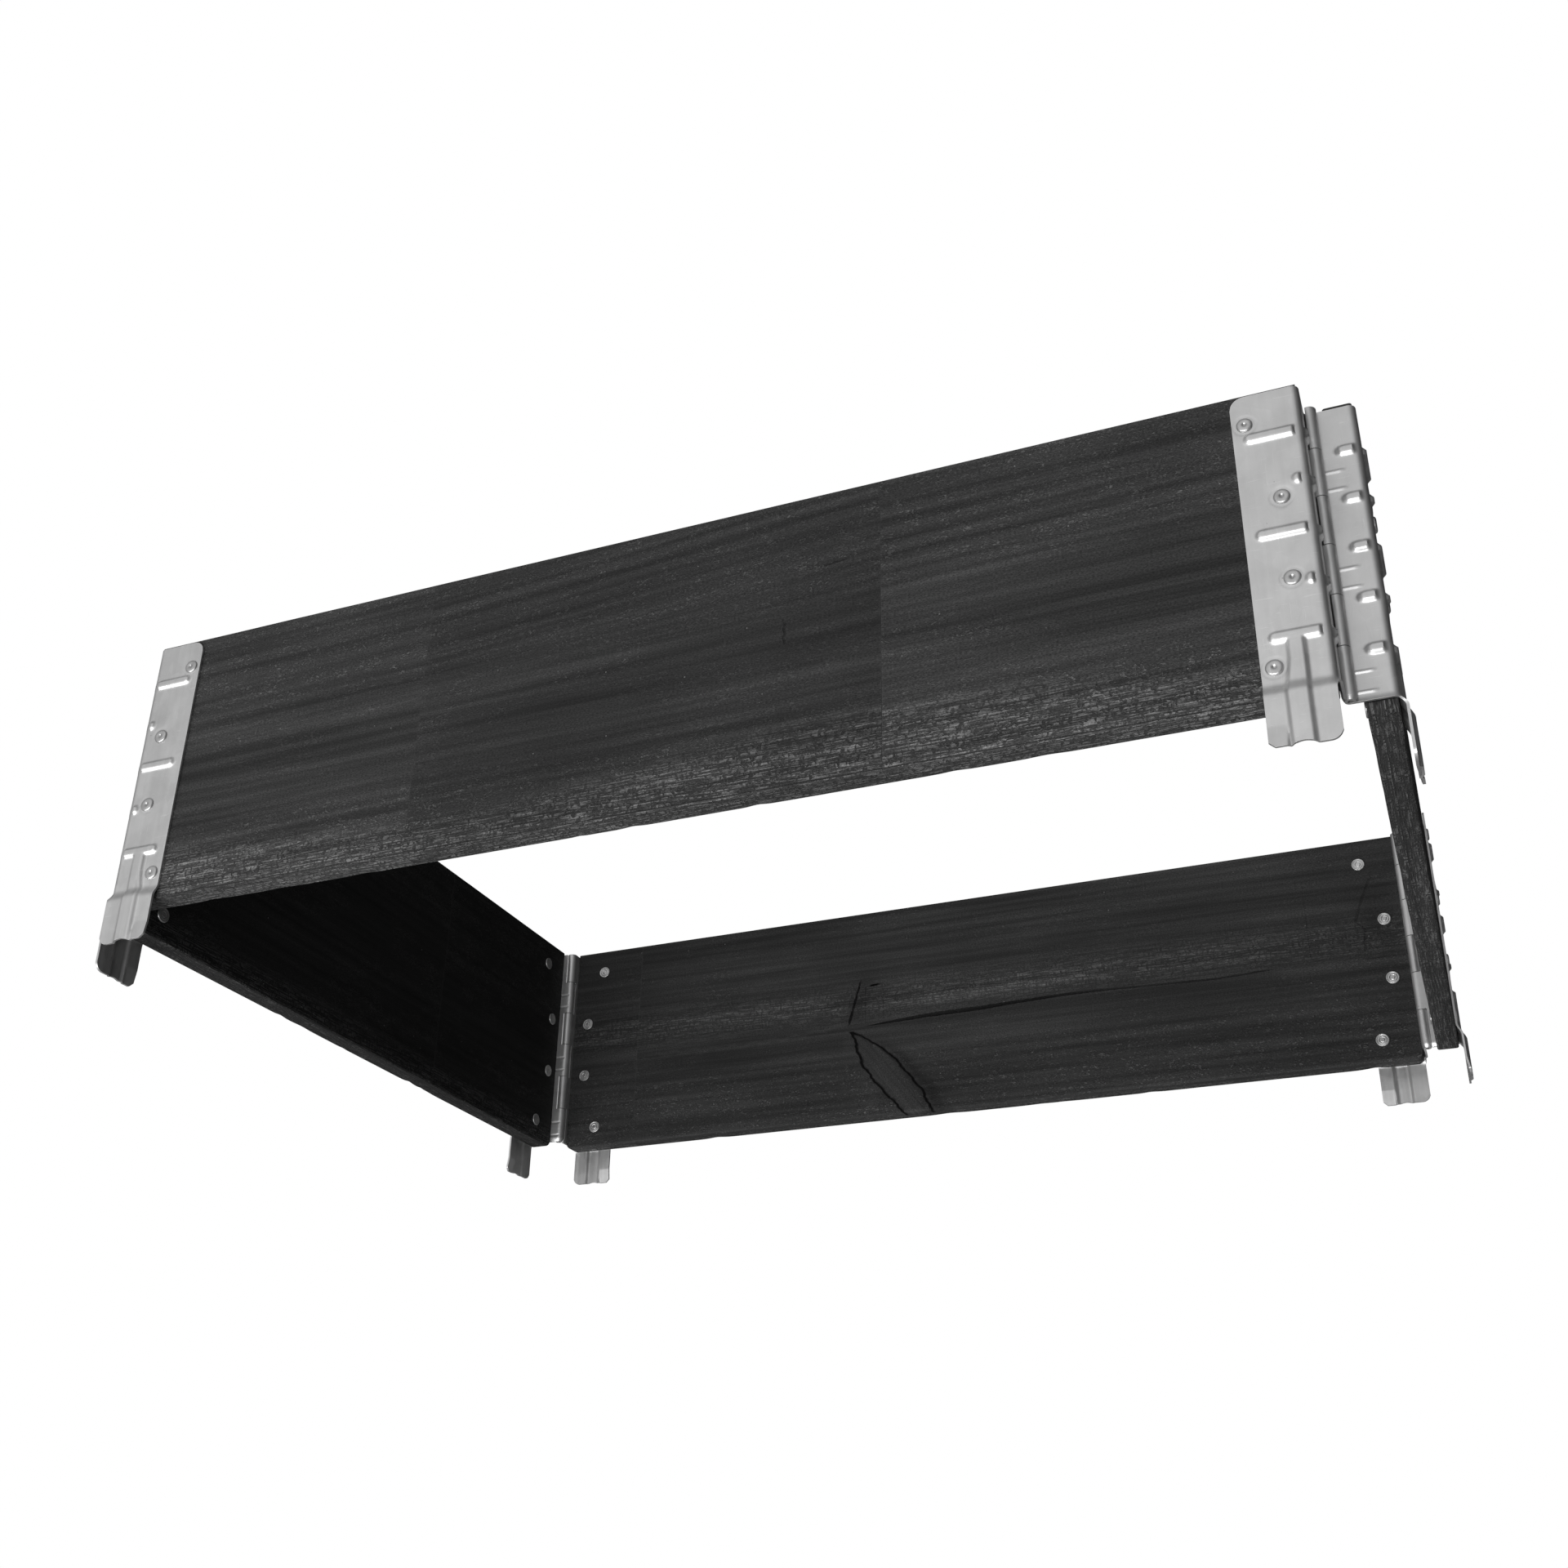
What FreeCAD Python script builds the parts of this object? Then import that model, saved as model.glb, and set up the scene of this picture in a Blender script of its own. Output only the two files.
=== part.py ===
import FreeCAD, Part
import os
import re
import Sketcher

# Folding pallet collar: four boards joined at the corners by eight riveted hinge leaves and four pins.
# Millimetres. X runs along the long boards, Y from the front board to the back board, Z is up.
# The origin is below the middle of the collar, at the height of the locating tabs' tips.

SIZES = [
    ("collar_length", 800.0, "outer faces of the left and right boards"),
    ("collar_width", 600.0, "outer faces of the front and back boards"),
    ("board_height", 190.0, "height of every board"),
    ("board_thick", 16.0, "thickness of every board"),
    ("board_ease", 1.5, "rounding of the boards' long edges"),
    ("board_clip", 5.0, "rounding of the boards' end corners, seen on the face"),
    ("sheet_thick", 1.5, "thickness of the hinge sheet"),
    ("bend_inner", 2.5, "inner radius of the bend round the board's end"),
    ("corner_room", 0.5, "room between the bend and the board's end edge"),
    ("pin_radius", 2.5, "hinge pin"),
    ("pin_play", 0.05, "running clearance of a pin in its knuckles"),
    ("open_play", 0.3, "clearance in the back leaf of the one pivot that closes the loop"),
    ("pin_recess", 3.0, "how far a pin stops short of the outermost knuckle ends"),
    ("pin_depth", 22.7, "pin axis behind the board's outer face"),
    ("plate_width", 37.0, "hinge plate along the board, from the outside of the bend"),
    ("plate_corner", 8.0, "rounding of the plate's upper free corner"),
    ("leaf_top_gap", 2.5, "board top above the leaf"),
    ("flange_drop", 5.1, "lower edge of the end flange above the board's lower edge"),
    ("flange_end", 5.5, "end flange stops this far from the pin axis where the other leaf has its knuckle"),
    ("knuckle_pitch", 30.9, "spacing of the knuckles"),
    ("knuckle_gap", 0.5, "gap between neighbouring knuckles"),
    ("curl_slit", 1.2, "slit between a knuckle's rolled end and its own sheet"),
    ("rib_height", 2.0, "how far the ribs stand out of the sheet"),
    ("rib_width", 8.0, "width of the ribs across the bend"),
    ("rib_root", 0.5, "depth of the ribs' roots in the sheet"),
    ("rib_top", 158.5, "uppermost rib above the board's lower edge"),
    ("rib_pitch", 31.0, "spacing of the ribs across the bend"),
    ("rib_long", 31.5, "first, third and fifth rib on the plate, from the outside of the bend"),
    ("rib_short", 10.0, "second and fourth rib on the plate, from the outside of the bend"),
    ("rib_flange", 15.5, "all ribs on the end flange, from the outside of the bend"),
    ("tab_drop", 28.5, "locating tab below the board's lower edge"),
    ("tab_out", 3.0, "outward step of the locating tab"),
    ("tab_side", 1.2, "tab's hinge-side edge from the outside of the bend"),
    ("step_high", 9.0, "upper end of the tab's step above the board's lower edge"),
    ("step_low", 0.5, "lower end of the tab's step above the board's lower edge"),
    ("tab_round", 4.0, "rounding of the tab's hinge-side corner"),
    ("tab_clip", 3.0, "chamfer of the tab's free corner"),
    ("flare_start", 26.5, "flared part of the tab, from the outside of the bend to the free edge"),
    ("flare_height", 12.0, "height of the flared part"),
    ("flare_out", 1.7, "outward flare at the tab's tip"),
    ("tab_rib_near", 12.5, "upright rib's near side, from the outside of the bend"),
    ("tab_rib_far", 24.0, "upright rib's far side, from the outside of the bend"),
    ("rivet_low", 17.8, "lowest rivet above the board's lower edge"),
    ("rivet_pitch", 50.2, "upright spacing of the rivets"),
    ("rivet_far", 29.7, "first and fourth rivet from the outside of the bend"),
    ("rivet_near", 15.5, "second and third rivet from the outside of the bend"),
    ("shank_radius", 2.5, "rivet shank"),
    ("shank_play", 0.1, "clearance of the rivet holes"),
    ("set_radius", 4.7, "rolled-over rivet end on the plate"),
    ("set_height", 1.9, "height of the rolled-over rivet end"),
    ("head_radius", 6.0, "flat rivet head on the inner face"),
    ("head_height", 1.2, "height of the flat rivet head"),
]

# Where each leaf goes: corner, board, and quarter turns from the front board's own leaf.
RIGHT_HAND = [("front", "right", 0), ("right", "back", 1), ("back", "left", 2), ("left", "front", 3)]
LEFT_HAND = [("front", "left", 0), ("right", "front", 1), ("back", "right", 2), ("left", "back", 3)]
LOOP_CLOSER = ("back", "right")   # the leaf whose knuckles have the wider bore

doc = FreeCAD.newDocument("pallet_collar")
sheet = doc.addObject("Spreadsheet::Sheet", "sizes")
for row, (alias, size, note) in enumerate(SIZES, start=1):
    sheet.set("A%d" % row, alias)
    sheet.set("B%d" % row, "%g" % size)
    sheet.set("C%d" % row, note)
    sheet.setAlias("B%d" % row, alias)
doc.recompute()


def formula(text):
    """Give every size name in a formula the name of its sheet."""
    return re.sub(r"[a-z][a-z_]+", lambda found: "sizes." + found.group(0), str(text))


def bind(thing, prop, text):
    """Tie a property of an object to a formula of the sheet's sizes."""
    thing.setExpression(prop, formula(text))


def new_body(label):
    body = doc.addObject("PartDesign::Body", label)
    body.Label = label
    return body


def plane(body, role):
    """The body's own origin plane or axis of that role."""
    return [part for part in body.Origin.OriginFeatures if part.Role == role][0]


def new_sketch(body, name, role, offset="0"):
    """An empty sketch on one of the body's origin planes, moved along the plane's normal."""
    sketch = body.newObject("Sketcher::SketchObject", name)
    sketch.AttachmentSupport = [(plane(body, role), "")]
    sketch.MapMode = "FlatFace"
    bind(sketch, ".AttachmentOffset.Base.z", offset)
    return sketch


def pin_down(sketch, geometry, point, across, upward):
    """Fix a point of the sketch at a place given by two formulas."""
    for kind, text in (("DistanceX", across), ("DistanceY", upward)):
        index = sketch.addConstraint(Sketcher.Constraint(kind, -1, 1, geometry, point, 1.0))
        bind(sketch, "Constraints[%d]" % index, text)


def outline(body, name, role, corners, offset="0"):
    """A closed sketch of straight lines through corners, each given as two formulas."""
    sketch = new_sketch(body, name, role, offset)
    count = len(corners)
    for index in range(count):
        start = FreeCAD.Vector(index, index * index, 0)
        after = (index + 1) % count
        sketch.addGeometry(Part.LineSegment(start, FreeCAD.Vector(after, after * after, 0)), False)
    for index in range(count):
        sketch.addConstraint(Sketcher.Constraint("Coincident", index, 2, (index + 1) % count, 1))
    for index, (across, upward) in enumerate(corners):
        pin_down(sketch, index, 1, across, upward)
    return sketch


def circles(body, name, role, spots, radius, offset="0"):
    """A sketch of equal circles, each centre given as two formulas."""
    sketch = new_sketch(body, name, role, offset)
    for index, (across, upward) in enumerate(spots):
        centre = FreeCAD.Vector(10 * index, 10 * index, 0)
        sketch.addGeometry(Part.Circle(centre, FreeCAD.Vector(0, 0, 1), 1.0), False)
        pin_down(sketch, index, 3, across, upward)
        ring = sketch.addConstraint(Sketcher.Constraint("Radius", index, 1.0))
        bind(sketch, "Constraints[%d]" % ring, radius)
    return sketch


def pad(body, name, sketch, length):
    feature = body.newObject("PartDesign::Pad", name)
    feature.Profile = sketch
    bind(feature, "Length", length)
    return feature


def cut_through(body, name, sketch):
    """Cut the sketch through the whole body, to both sides of its plane."""
    feature = body.newObject("PartDesign::Pocket", name)
    feature.Profile = sketch
    feature.Type = "ThroughAll"
    feature.Midplane = True
    return feature


def repeat_upward(body, name, features, pitch, times):
    """Repeat features along the body's Z axis."""
    pattern = body.newObject("PartDesign::LinearPattern", name)
    pattern.Originals = features
    pattern.Direction = (plane(body, "Z_Axis"), [""])
    bind(pattern, "Length", "(%s) * %d" % (pitch, times - 1))
    pattern.Occurrences = times
    body.Tip = pattern
    return pattern


def dress(body, name, kind, chosen, size):
    """Fillet or chamfer the edges of the body's last feature for which chosen(edge) is true."""
    doc.recompute()
    base = body.Tip
    names = ["Edge%d" % (n + 1) for n, edge in enumerate(base.Shape.Edges) if chosen(edge)]
    feature = body.newObject("PartDesign::" + kind, name)
    feature.Base = (base, names)
    bind(feature, "Radius" if kind == "Fillet" else "Size", size)
    return feature


def value(alias):
    return float(sheet.get(alias))


def runs_along(edge, axis):
    """True if the edge is straight and runs along the axis 0, 1 or 2."""
    if edge.Curve.TypeId != "Part::GeomLine":
        return False
    way = edge.tangentAt(edge.FirstParameter)
    return abs(way[axis]) > 0.999


def near(first, second):
    return abs(first - second) < 1e-4


# ---------------------------------------------------------------- boards
BEND_TO_PIN = "pin_radius + pin_play"                      # outside of the flange to the pin axis
END_GAP = "pin_depth + pin_radius + pin_play + sheet_thick"  # board's end behind the next board's outer face


def board(label, overall):
    """A board standing on edge: X along it, outer face on Y = 0, lower edge on Z = 0."""
    body = new_body(label)
    half = "(%s) / 2 - (%s)" % (overall, END_GAP)
    corners = [("-(%s)" % half, "0"), (half, "0"), (half, "board_thick"), ("-(%s)" % half, "board_thick")]
    blank = pad(body, label + "_blank", outline(body, label + "_plan", "XY_Plane", corners), "board_height")
    blank.Profile[0].Visibility = False
    dress(body, label + "_end_corners", "Fillet", lambda edge: runs_along(edge, 1), "board_clip")

    def outer_end(edge):
        return runs_along(edge, 2) and near(edge.CenterOfMass.y, 0)

    dress(body, label + "_bend_room", "Fillet", outer_end, "bend_inner + corner_room")
    dress(body, label + "_eased_edges", "Fillet",
          lambda edge: runs_along(edge, 0) and edge.Length > value("collar_width") / 2, "board_ease")
    spots = []
    for side in ("-", ""):
        for level in range(4):
            reach = "rivet_far" if level in (0, 3) else "rivet_near"
            across = "%s((%s) + sheet_thick - (%s))" % (side, half, reach)
            spots.append((across, "rivet_low + rivet_pitch * %d" % level))
    holes = circles(body, label + "_hole_spots", "XZ_Plane", spots, "shank_radius + shank_play")
    cut_through(body, label + "_rivet_holes", holes)
    return body


# ---------------------------------------------------------------- hinge leaves
def hinge_leaf(label, side, first_level, bore):
    """One leaf. The pin axis is Z, Z = 0 is the tab's tip, and the board's outer face looks along -Y.

    side is "" where the plate runs towards +X and "-" where it runs towards -X. first_level counts the
    knuckles of both leaves from the lowest, which is 0. bore is the formula of this leaf's bore radius.
    """
    body = new_body(label)
    low = "tab_drop + flange_drop"
    top = "tab_drop + board_height - leaf_top_gap"
    outer = "pin_depth + sheet_thick"

    def reach(text):
        """Place along the board, measured from the outside of the bend."""
        return "%s((%s) + (%s))" % (side, BEND_TO_PIN, text)

    def add(name, role, corners, length, offset="0"):
        return pad(body, label + name, outline(body, label + name + "_sketch", role, corners, offset), length)

    # sheet: plate, bend and end flange in plan
    plan = [
        (reach("0"), "-(flange_end)"),
        (reach("0"), "-(%s)" % outer),
        (reach("plate_width"), "-(%s)" % outer),
        (reach("plate_width"), "-(pin_depth)"),
        (reach("sheet_thick"), "-(pin_depth)"),
        (reach("sheet_thick"), "-(flange_end)"),
    ]
    add("_sheet", "XY_Plane", plan, "(%s) - (%s)" % (top, low), low)
    doc.recompute()
    turn = -1.0 if side else 1.0
    bend_x = turn * (value("pin_radius") + value("pin_play"))
    inner_x = bend_x + turn * value("sheet_thick")
    outer_y = -(value("pin_depth") + value("sheet_thick"))
    free_x = bend_x + turn * value("plate_width")
    top_z = value("tab_drop") + value("board_height") - value("leaf_top_gap")

    def upright_at(x, y):
        return lambda edge: (runs_along(edge, 2) and near(edge.CenterOfMass.x, x)
                             and near(edge.CenterOfMass.y, y))

    dress(body, label + "_bend_outside", "Fillet", upright_at(bend_x, outer_y), "bend_inner + sheet_thick")
    dress(body, label + "_bend_inside", "Fillet", upright_at(inner_x, -value("pin_depth")), "bend_inner")
    dress(body, label + "_plate_corner", "Fillet",
          lambda edge: (runs_along(edge, 1) and near(edge.CenterOfMass.x, free_x)
                        and near(edge.CenterOfMass.z, top_z)), "plate_corner")

    # locating tab: a straight part beside the bend and a flared part at the free edge
    step_high = "tab_drop + step_high"
    step_low = "tab_drop + step_low"
    tab_outer = "%s + tab_out" % outer
    tab_inner = "pin_depth + tab_out"
    straight = [
        ("-(pin_depth)", step_high),
        ("-(%s)" % outer, step_high),
        ("-(%s)" % tab_outer, step_low),
        ("-(%s)" % tab_outer, "0"),
        ("-(%s)" % tab_inner, "0"),
        ("-(%s)" % tab_inner, step_low),
    ]
    flared = straight[:3] + [
        ("-(%s)" % tab_outer, "flare_height"),
        ("-(%s + flare_out)" % tab_outer, "0"),
        ("-(%s + flare_out)" % tab_inner, "0"),
        ("-(%s)" % tab_inner, "flare_height"),
    ] + straight[5:]

    def span(first, last):
        """Offset and length of a pad along X between two places on the board."""
        start = reach(last) if side else reach(first)
        return start, "(%s) - (%s)" % (last, first)

    offset, length = span("tab_side", "flare_start")
    add("_tab", "YZ_Plane", straight, length, offset)
    offset, length = span("flare_start", "plate_width")
    add("_flare", "YZ_Plane", flared, length, offset)
    tab_side_x = bend_x + turn * value("tab_side")
    dress(body, label + "_tab_round", "Fillet",
          lambda edge: (runs_along(edge, 1) and near(edge.CenterOfMass.z, 0)
                        and near(edge.CenterOfMass.x, tab_side_x)), "tab_round")
    dress(body, label + "_tab_clip", "Chamfer",
          lambda edge: (runs_along(edge, 1) and near(edge.CenterOfMass.z, 0)
                        and near(edge.CenterOfMass.x, free_x)), "tab_clip")

    # upright rib from the lowest rib across the bend down to the tab's tip
    root = "%s - rib_root" % outer
    rib_face = "%s + rib_height" % outer
    upright = [
        ("-(%s)" % root, "tab_drop + rib_top - rib_pitch * 4"),
        ("-(%s)" % rib_face, "tab_drop + rib_top - rib_pitch * 4"),
        ("-(%s)" % rib_face, step_high + " + sheet_thick / 2"),
        ("-(%s + tab_out)" % rib_face, step_low + " + sheet_thick / 2"),
        ("-(%s + tab_out)" % rib_face, "0"),
        ("-(%s + tab_out)" % root, "0"),
        ("-(%s + tab_out)" % root, step_low),
        ("-(%s)" % root, step_high),
    ]
    offset, length = span("tab_rib_near", "tab_rib_far")
    add("_tab_rib", "YZ_Plane", upright, length, offset)

    # ribs across the bend: three long ones and two short ones, in plan
    bend_out = "bend_inner + sheet_thick"
    for name, rib, lowest, times in (("_long_ribs", "rib_long", 4, 3), ("_short_ribs", "rib_short", 3, 2)):
        crest = [
            (reach(rib), "-(%s)" % root),
            (reach("%s - rib_height" % rib), "-(%s)" % rib_face),
            (reach("(%s) / 2" % bend_out), "-(%s)" % rib_face),
            (reach("-rib_height"), "-(%s - (%s) / 2)" % (outer, bend_out)),
            (reach("-rib_height"), "-(%s - rib_flange + rib_height)" % outer),
            (reach("rib_root"), "-(%s - rib_flange)" % outer),
            (reach("rib_root"), "-(%s - (%s) / 2)" % (outer, bend_out)),
            (reach("(%s) / 2" % bend_out), "-(%s)" % root),
        ]
        start = "tab_drop + rib_top - rib_pitch * %d - rib_width / 2" % lowest
        rib_pad = add(name, "XY_Plane", crest, "rib_width", start)
        repeat_upward(body, label + name + "_row", [rib_pad], "rib_pitch * 2", times)

    # knuckles: a strap that carries the flange on past the pin, and the roll round the pin
    start = "%s + knuckle_pitch * %d" % (low, first_level)
    long = "knuckle_pitch - knuckle_gap"
    strap = [
        (reach("0"), "-(flange_end + sheet_thick)"),
        (reach("sheet_thick"), "-(flange_end + sheet_thick)"),
        (reach("sheet_thick"), "0"),
        (reach("0"), "0"),
    ]
    straps = add("_strap", "XY_Plane", strap, long, start)
    roll_plan = circles(body, label + "_roll_sketch", "XY_Plane", [("0", "0")],
                        "pin_radius + pin_play + sheet_thick", start)
    roll = pad(body, label + "_roll", roll_plan, long)
    repeat_upward(body, label + "_knuckles", [straps, roll], "knuckle_pitch * 2", 3)
    if first_level:
        doc.recompute()
        above = circles(body, label + "_trim_sketch", "XY_Plane", [("0", "0")], "flange_end * 2", top)
        trim = body.newObject("PartDesign::Pocket", label + "_trim")
        trim.Profile = above
        trim.Type = "Length"
        trim.Reversed = True
        bind(trim, "Length", "knuckle_pitch")
    cut_through(body, label + "_bore", circles(body, label + "_bore_sketch", "XY_Plane", [("0", "0")], bore))
    slit = [
        (reach("-curl_slit"), "-(flange_end)"),
        (reach("0"), "-(flange_end)"),
        (reach("0"), "-(pin_radius / 2)"),
        (reach("-curl_slit"), "-(pin_radius / 2)"),
    ]
    cut_through(body, label + "_slit", outline(body, label + "_slit_sketch", "XY_Plane", slit))

    # rivet holes
    spots = []
    for level in range(4):
        where = "rivet_far" if level in (0, 3) else "rivet_near"
        spots.append((reach(where), "tab_drop + rivet_low + rivet_pitch * %d" % level))
    cut_through(body, label + "_rivet_holes",
                circles(body, label + "_hole_spots", "XZ_Plane", spots, "shank_radius + shank_play"))
    return body


# ---------------------------------------------------------------- pins and rivets
def hinge_pin(label):
    """A plain pin with chamfered ends, standing on Z = 0."""
    body = new_body(label)
    stack = "board_height - leaf_top_gap - flange_drop"
    pad(body, label + "_rod", circles(body, label + "_round", "XY_Plane", [("0", "0")], "pin_radius"),
        "%s - pin_recess * 2" % stack)
    dress(body, label + "_ends", "Chamfer", lambda edge: edge.Curve.TypeId == "Part::GeomCircle",
          "pin_radius / 5")
    return body


def rivet():
    """One rivet along Y: its shank starts at Y = 0, the board's outer face, and its set end points to -Y."""
    body = new_body("rivet_pattern_piece")
    plate = "sheet_thick"
    half = [
        ("0", "-(%s + set_height * 0.6)" % plate),
        ("set_radius * 0.2", "-(%s + set_height)" % plate),
        ("set_radius * 0.55", "-(%s + set_height * 0.95)" % plate),
        ("set_radius * 0.88", "-(%s + set_height * 0.55)" % plate),
        ("set_radius", "-(%s)" % plate),
        ("shank_radius", "-(%s)" % plate),
        ("shank_radius", "board_thick"),
        ("head_radius", "board_thick"),
        ("head_radius", "board_thick + head_height * 0.6"),
        ("head_radius * 0.92", "board_thick + head_height"),
        ("0", "board_thick + head_height"),
    ]
    profile = outline(body, "rivet_half", "XY_Plane", half)
    turned = body.newObject("PartDesign::Revolution", "rivet_turned")
    turned.Profile = profile
    turned.ReferenceAxis = (profile, ["V_Axis"])
    turned.Angle = 360.0
    return body


def rivet_group(label, side, pattern_piece):
    """The four rivets of one leaf as a group of separate solids, in the leaf's own frame."""
    links = []
    for level in range(4):
        where = "rivet_far" if level in (0, 3) else "rivet_near"
        link = doc.addObject("App::Link", "%s_%d" % (label, level + 1))
        link.LinkedObject = pattern_piece
        link.LinkTransform = False
        bind(link, "Placement.Base.x", "%s(%s + %s)" % (side, BEND_TO_PIN, where))
        bind(link, "Placement.Base.y", "-pin_depth")
        bind(link, "Placement.Base.z", "tab_drop + rivet_low + rivet_pitch * %d" % level)
        links.append(link)
    group = doc.addObject("Part::Compound", label)
    group.Label = label
    group.Links = links
    return group


# ---------------------------------------------------------------- assembly
def place(thing, across, away, upward, quarter_turns=0):
    """Put a sub-part at a place given by formulas, turned about Z by quarter turns."""
    turned = FreeCAD.Rotation(FreeCAD.Vector(0, 0, 1), 90 * quarter_turns)
    thing.Placement = FreeCAD.Placement(FreeCAD.Vector(0, 0, 0), turned)
    bind(thing, "Placement.Base.x", across)
    bind(thing, "Placement.Base.y", away)
    bind(thing, "Placement.Base.z", upward)
    return thing


PIN_X = "(collar_length / 2 - pin_depth)"
PIN_Y = "(collar_width / 2 - pin_depth)"


def corner_of(board_name, end):
    """Formulas of the pin's place at the corner where board_name's leaf at that end sits."""
    names = (board_name, end)
    return ("-" if "left" in names else "") + PIN_X, ("-" if "front" in names else "") + PIN_Y


parts = []
BOARDS = [
    ("front", "collar_length", "0", "-(collar_width / 2)", 0),
    ("right", "collar_width", "collar_length / 2", "0", 1),
    ("back", "collar_length", "0", "collar_width / 2", 2),
    ("left", "collar_width", "-(collar_length / 2)", "0", 3),
]
for name, overall, across, away, turns in BOARDS:
    parts.append(place(board(name + "_board", overall), across, away, "tab_drop", turns))

pattern_piece = rivet()
doc.recompute()
for side, first_level, leaves in (("-", 1, RIGHT_HAND), ("", 0, LEFT_HAND)):
    for board_name, end, turns in leaves:
        play = "open_play" if (board_name, end) == LOOP_CLOSER else "pin_play"
        across, away = corner_of(board_name, end)
        leaf = hinge_leaf("%s_leaf_%s" % (board_name, end), side, first_level, "pin_radius + " + play)
        parts.append(place(leaf, across, away, "0", turns))
        group = rivet_group("%s_rivets_%s" % (board_name, end), side, pattern_piece)
        parts.append(place(group, across, away, "0", turns))

for board_name, end in (("front", "left"), ("front", "right"), ("back", "left"), ("back", "right")):
    across, away = corner_of(board_name, end)
    parts.append(place(hinge_pin("hinge_pin_%s_%s" % (board_name, end)), across, away,
                       "tab_drop + flange_drop + pin_recess"))
doc.recompute()

# ---------------------------------------------------------------- checks and files
for thing in doc.Objects:
    if "Invalid" in thing.State or "Error" in thing.State:
        raise RuntimeError("%s failed: %s" % (thing.Name, thing.State))
os.makedirs("parts", exist_ok=True)
for part in parts:
    shape = part.Shape
    if shape.isNull() or not shape.isValid():
        raise RuntimeError("%s has no valid shape" % part.Label)
    shape.exportStep("parts/%s.step" % part.Label)
    box = shape.optimalBoundingBox(False)
    print("%-22s %d solid(s) %9.0f mm3  x %.1f..%.1f y %.1f..%.1f z %.1f..%.1f" % (
        part.Label, len(shape.Solids), shape.Volume, box.XMin, box.XMax, box.YMin, box.YMax,
        box.ZMin, box.ZMax))
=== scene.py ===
import math
import bpy
import numpy as np
from mathutils import Matrix, Vector


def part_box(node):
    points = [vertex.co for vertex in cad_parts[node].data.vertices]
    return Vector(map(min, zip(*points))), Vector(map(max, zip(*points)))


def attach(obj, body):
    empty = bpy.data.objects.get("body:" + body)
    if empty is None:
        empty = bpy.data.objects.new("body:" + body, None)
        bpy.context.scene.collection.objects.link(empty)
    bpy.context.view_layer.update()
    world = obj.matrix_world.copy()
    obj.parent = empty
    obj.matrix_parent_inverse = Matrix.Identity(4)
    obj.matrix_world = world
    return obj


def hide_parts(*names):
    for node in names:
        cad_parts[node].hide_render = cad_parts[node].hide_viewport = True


# Looks of the folding pallet collar: black-stained boards and galvanised pressed hinge leaves.
# Sizes below are in millimetres and become metres where a mesh is made. Each leaf and board is worked
# out in its own frame and then turned to its corner: the board's outer face looks along -Y, Z is up.

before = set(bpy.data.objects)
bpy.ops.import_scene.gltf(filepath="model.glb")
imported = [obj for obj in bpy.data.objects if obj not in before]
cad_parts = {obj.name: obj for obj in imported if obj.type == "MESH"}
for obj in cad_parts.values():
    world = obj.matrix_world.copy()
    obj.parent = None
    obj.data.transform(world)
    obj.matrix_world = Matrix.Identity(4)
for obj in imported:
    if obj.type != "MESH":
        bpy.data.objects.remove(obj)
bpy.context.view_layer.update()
MM = 0.001


def box_mm(node):
    """Lowest and highest corner of a CAD node in millimetres."""
    low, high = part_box(node)
    return np.array(low) / MM, np.array(high) / MM


# ---------------------------------------------------------------- sizes read from the frame
BOARD_LOW, BOARD_HIGH = box_mm("front_board")
_, RIGHT_HIGH = box_mm("right_board")
PIN_LOW, PIN_HIGH = box_mm("hinge_pin_front_right")
_, LEAF_HIGH = box_mm("front_leaf_right")
BASE = BOARD_LOW[2]                                # lower edge of the boards above the tabs' tips
BOARD_HEIGHT = BOARD_HIGH[2] - BASE
BOARD_THICK = BOARD_HIGH[1] - BOARD_LOW[1]
OUTER_X = RIGHT_HIGH[0]                            # outer face of the right board
OUTER_Y = -BOARD_LOW[1]                            # outer face of the back board
PIN_X = (PIN_LOW[0] + PIN_HIGH[0]) / 2
PIN_Y = -(PIN_LOW[1] + PIN_HIGH[1]) / 2
PIN_DEPTH = OUTER_X - PIN_X
PIN_RADIUS = (PIN_HIGH[0] - PIN_LOW[0]) / 2
LEAF_TOP = LEAF_HIGH[2]

# ---------------------------------------------------------------- sizes of the pressed sheet
SHEET = 1.5
PIN_PLAY = 0.05
BEND_INNER = 2.5
PLATE_WIDTH = 36.5                                 # from the outside of the bend to the free edge
PLATE_CORNER = 8.0
KNUCKLE_LOW = BASE + 5.1
KNUCKLE_PITCH = 30.9
KNUCKLE_GAP = 0.5
FLANGE_END = 3.4
CURL_SLIT = 1.2
RIB_HEIGHT = 2.1
RIB_TOP = BASE + 158.5
RIB_PITCH = 31.0
RIB_LONG = 31.5
RIB_SHORT = 10.0
RIB_FLANGE = 14.0
TAB_OUT = 3.0
TAB_SIDE = 1.2
RIB_HALF = 3.9
RIB_FLANK = 2.3
RIB_COUNT = 5
KNUCKLES = 6
TAB_CORNER = 6.0                                   # radius of the tab's hinge-side corner
TAB_CORNER_HELD = 4.6                              # the most that this corner rises
TAB_CLIP = 3.0                                     # cut across the tab's free corner
TAB_BOW = 1.3
TAB_FLARE = 1.7
TIP_ZONE = 12.0                                    # height over which a tip or lower corner is shaped
EDGE_BREAK = 0.18                                  # width of the broken edges of the sheet
RIVETS_PER_LEAF = 4
RIVET_LOW = BASE + 17.8
RIVET_PITCH = 50.2
RIVET_FAR = 29.7
RIVET_NEAR = 15.5

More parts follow.
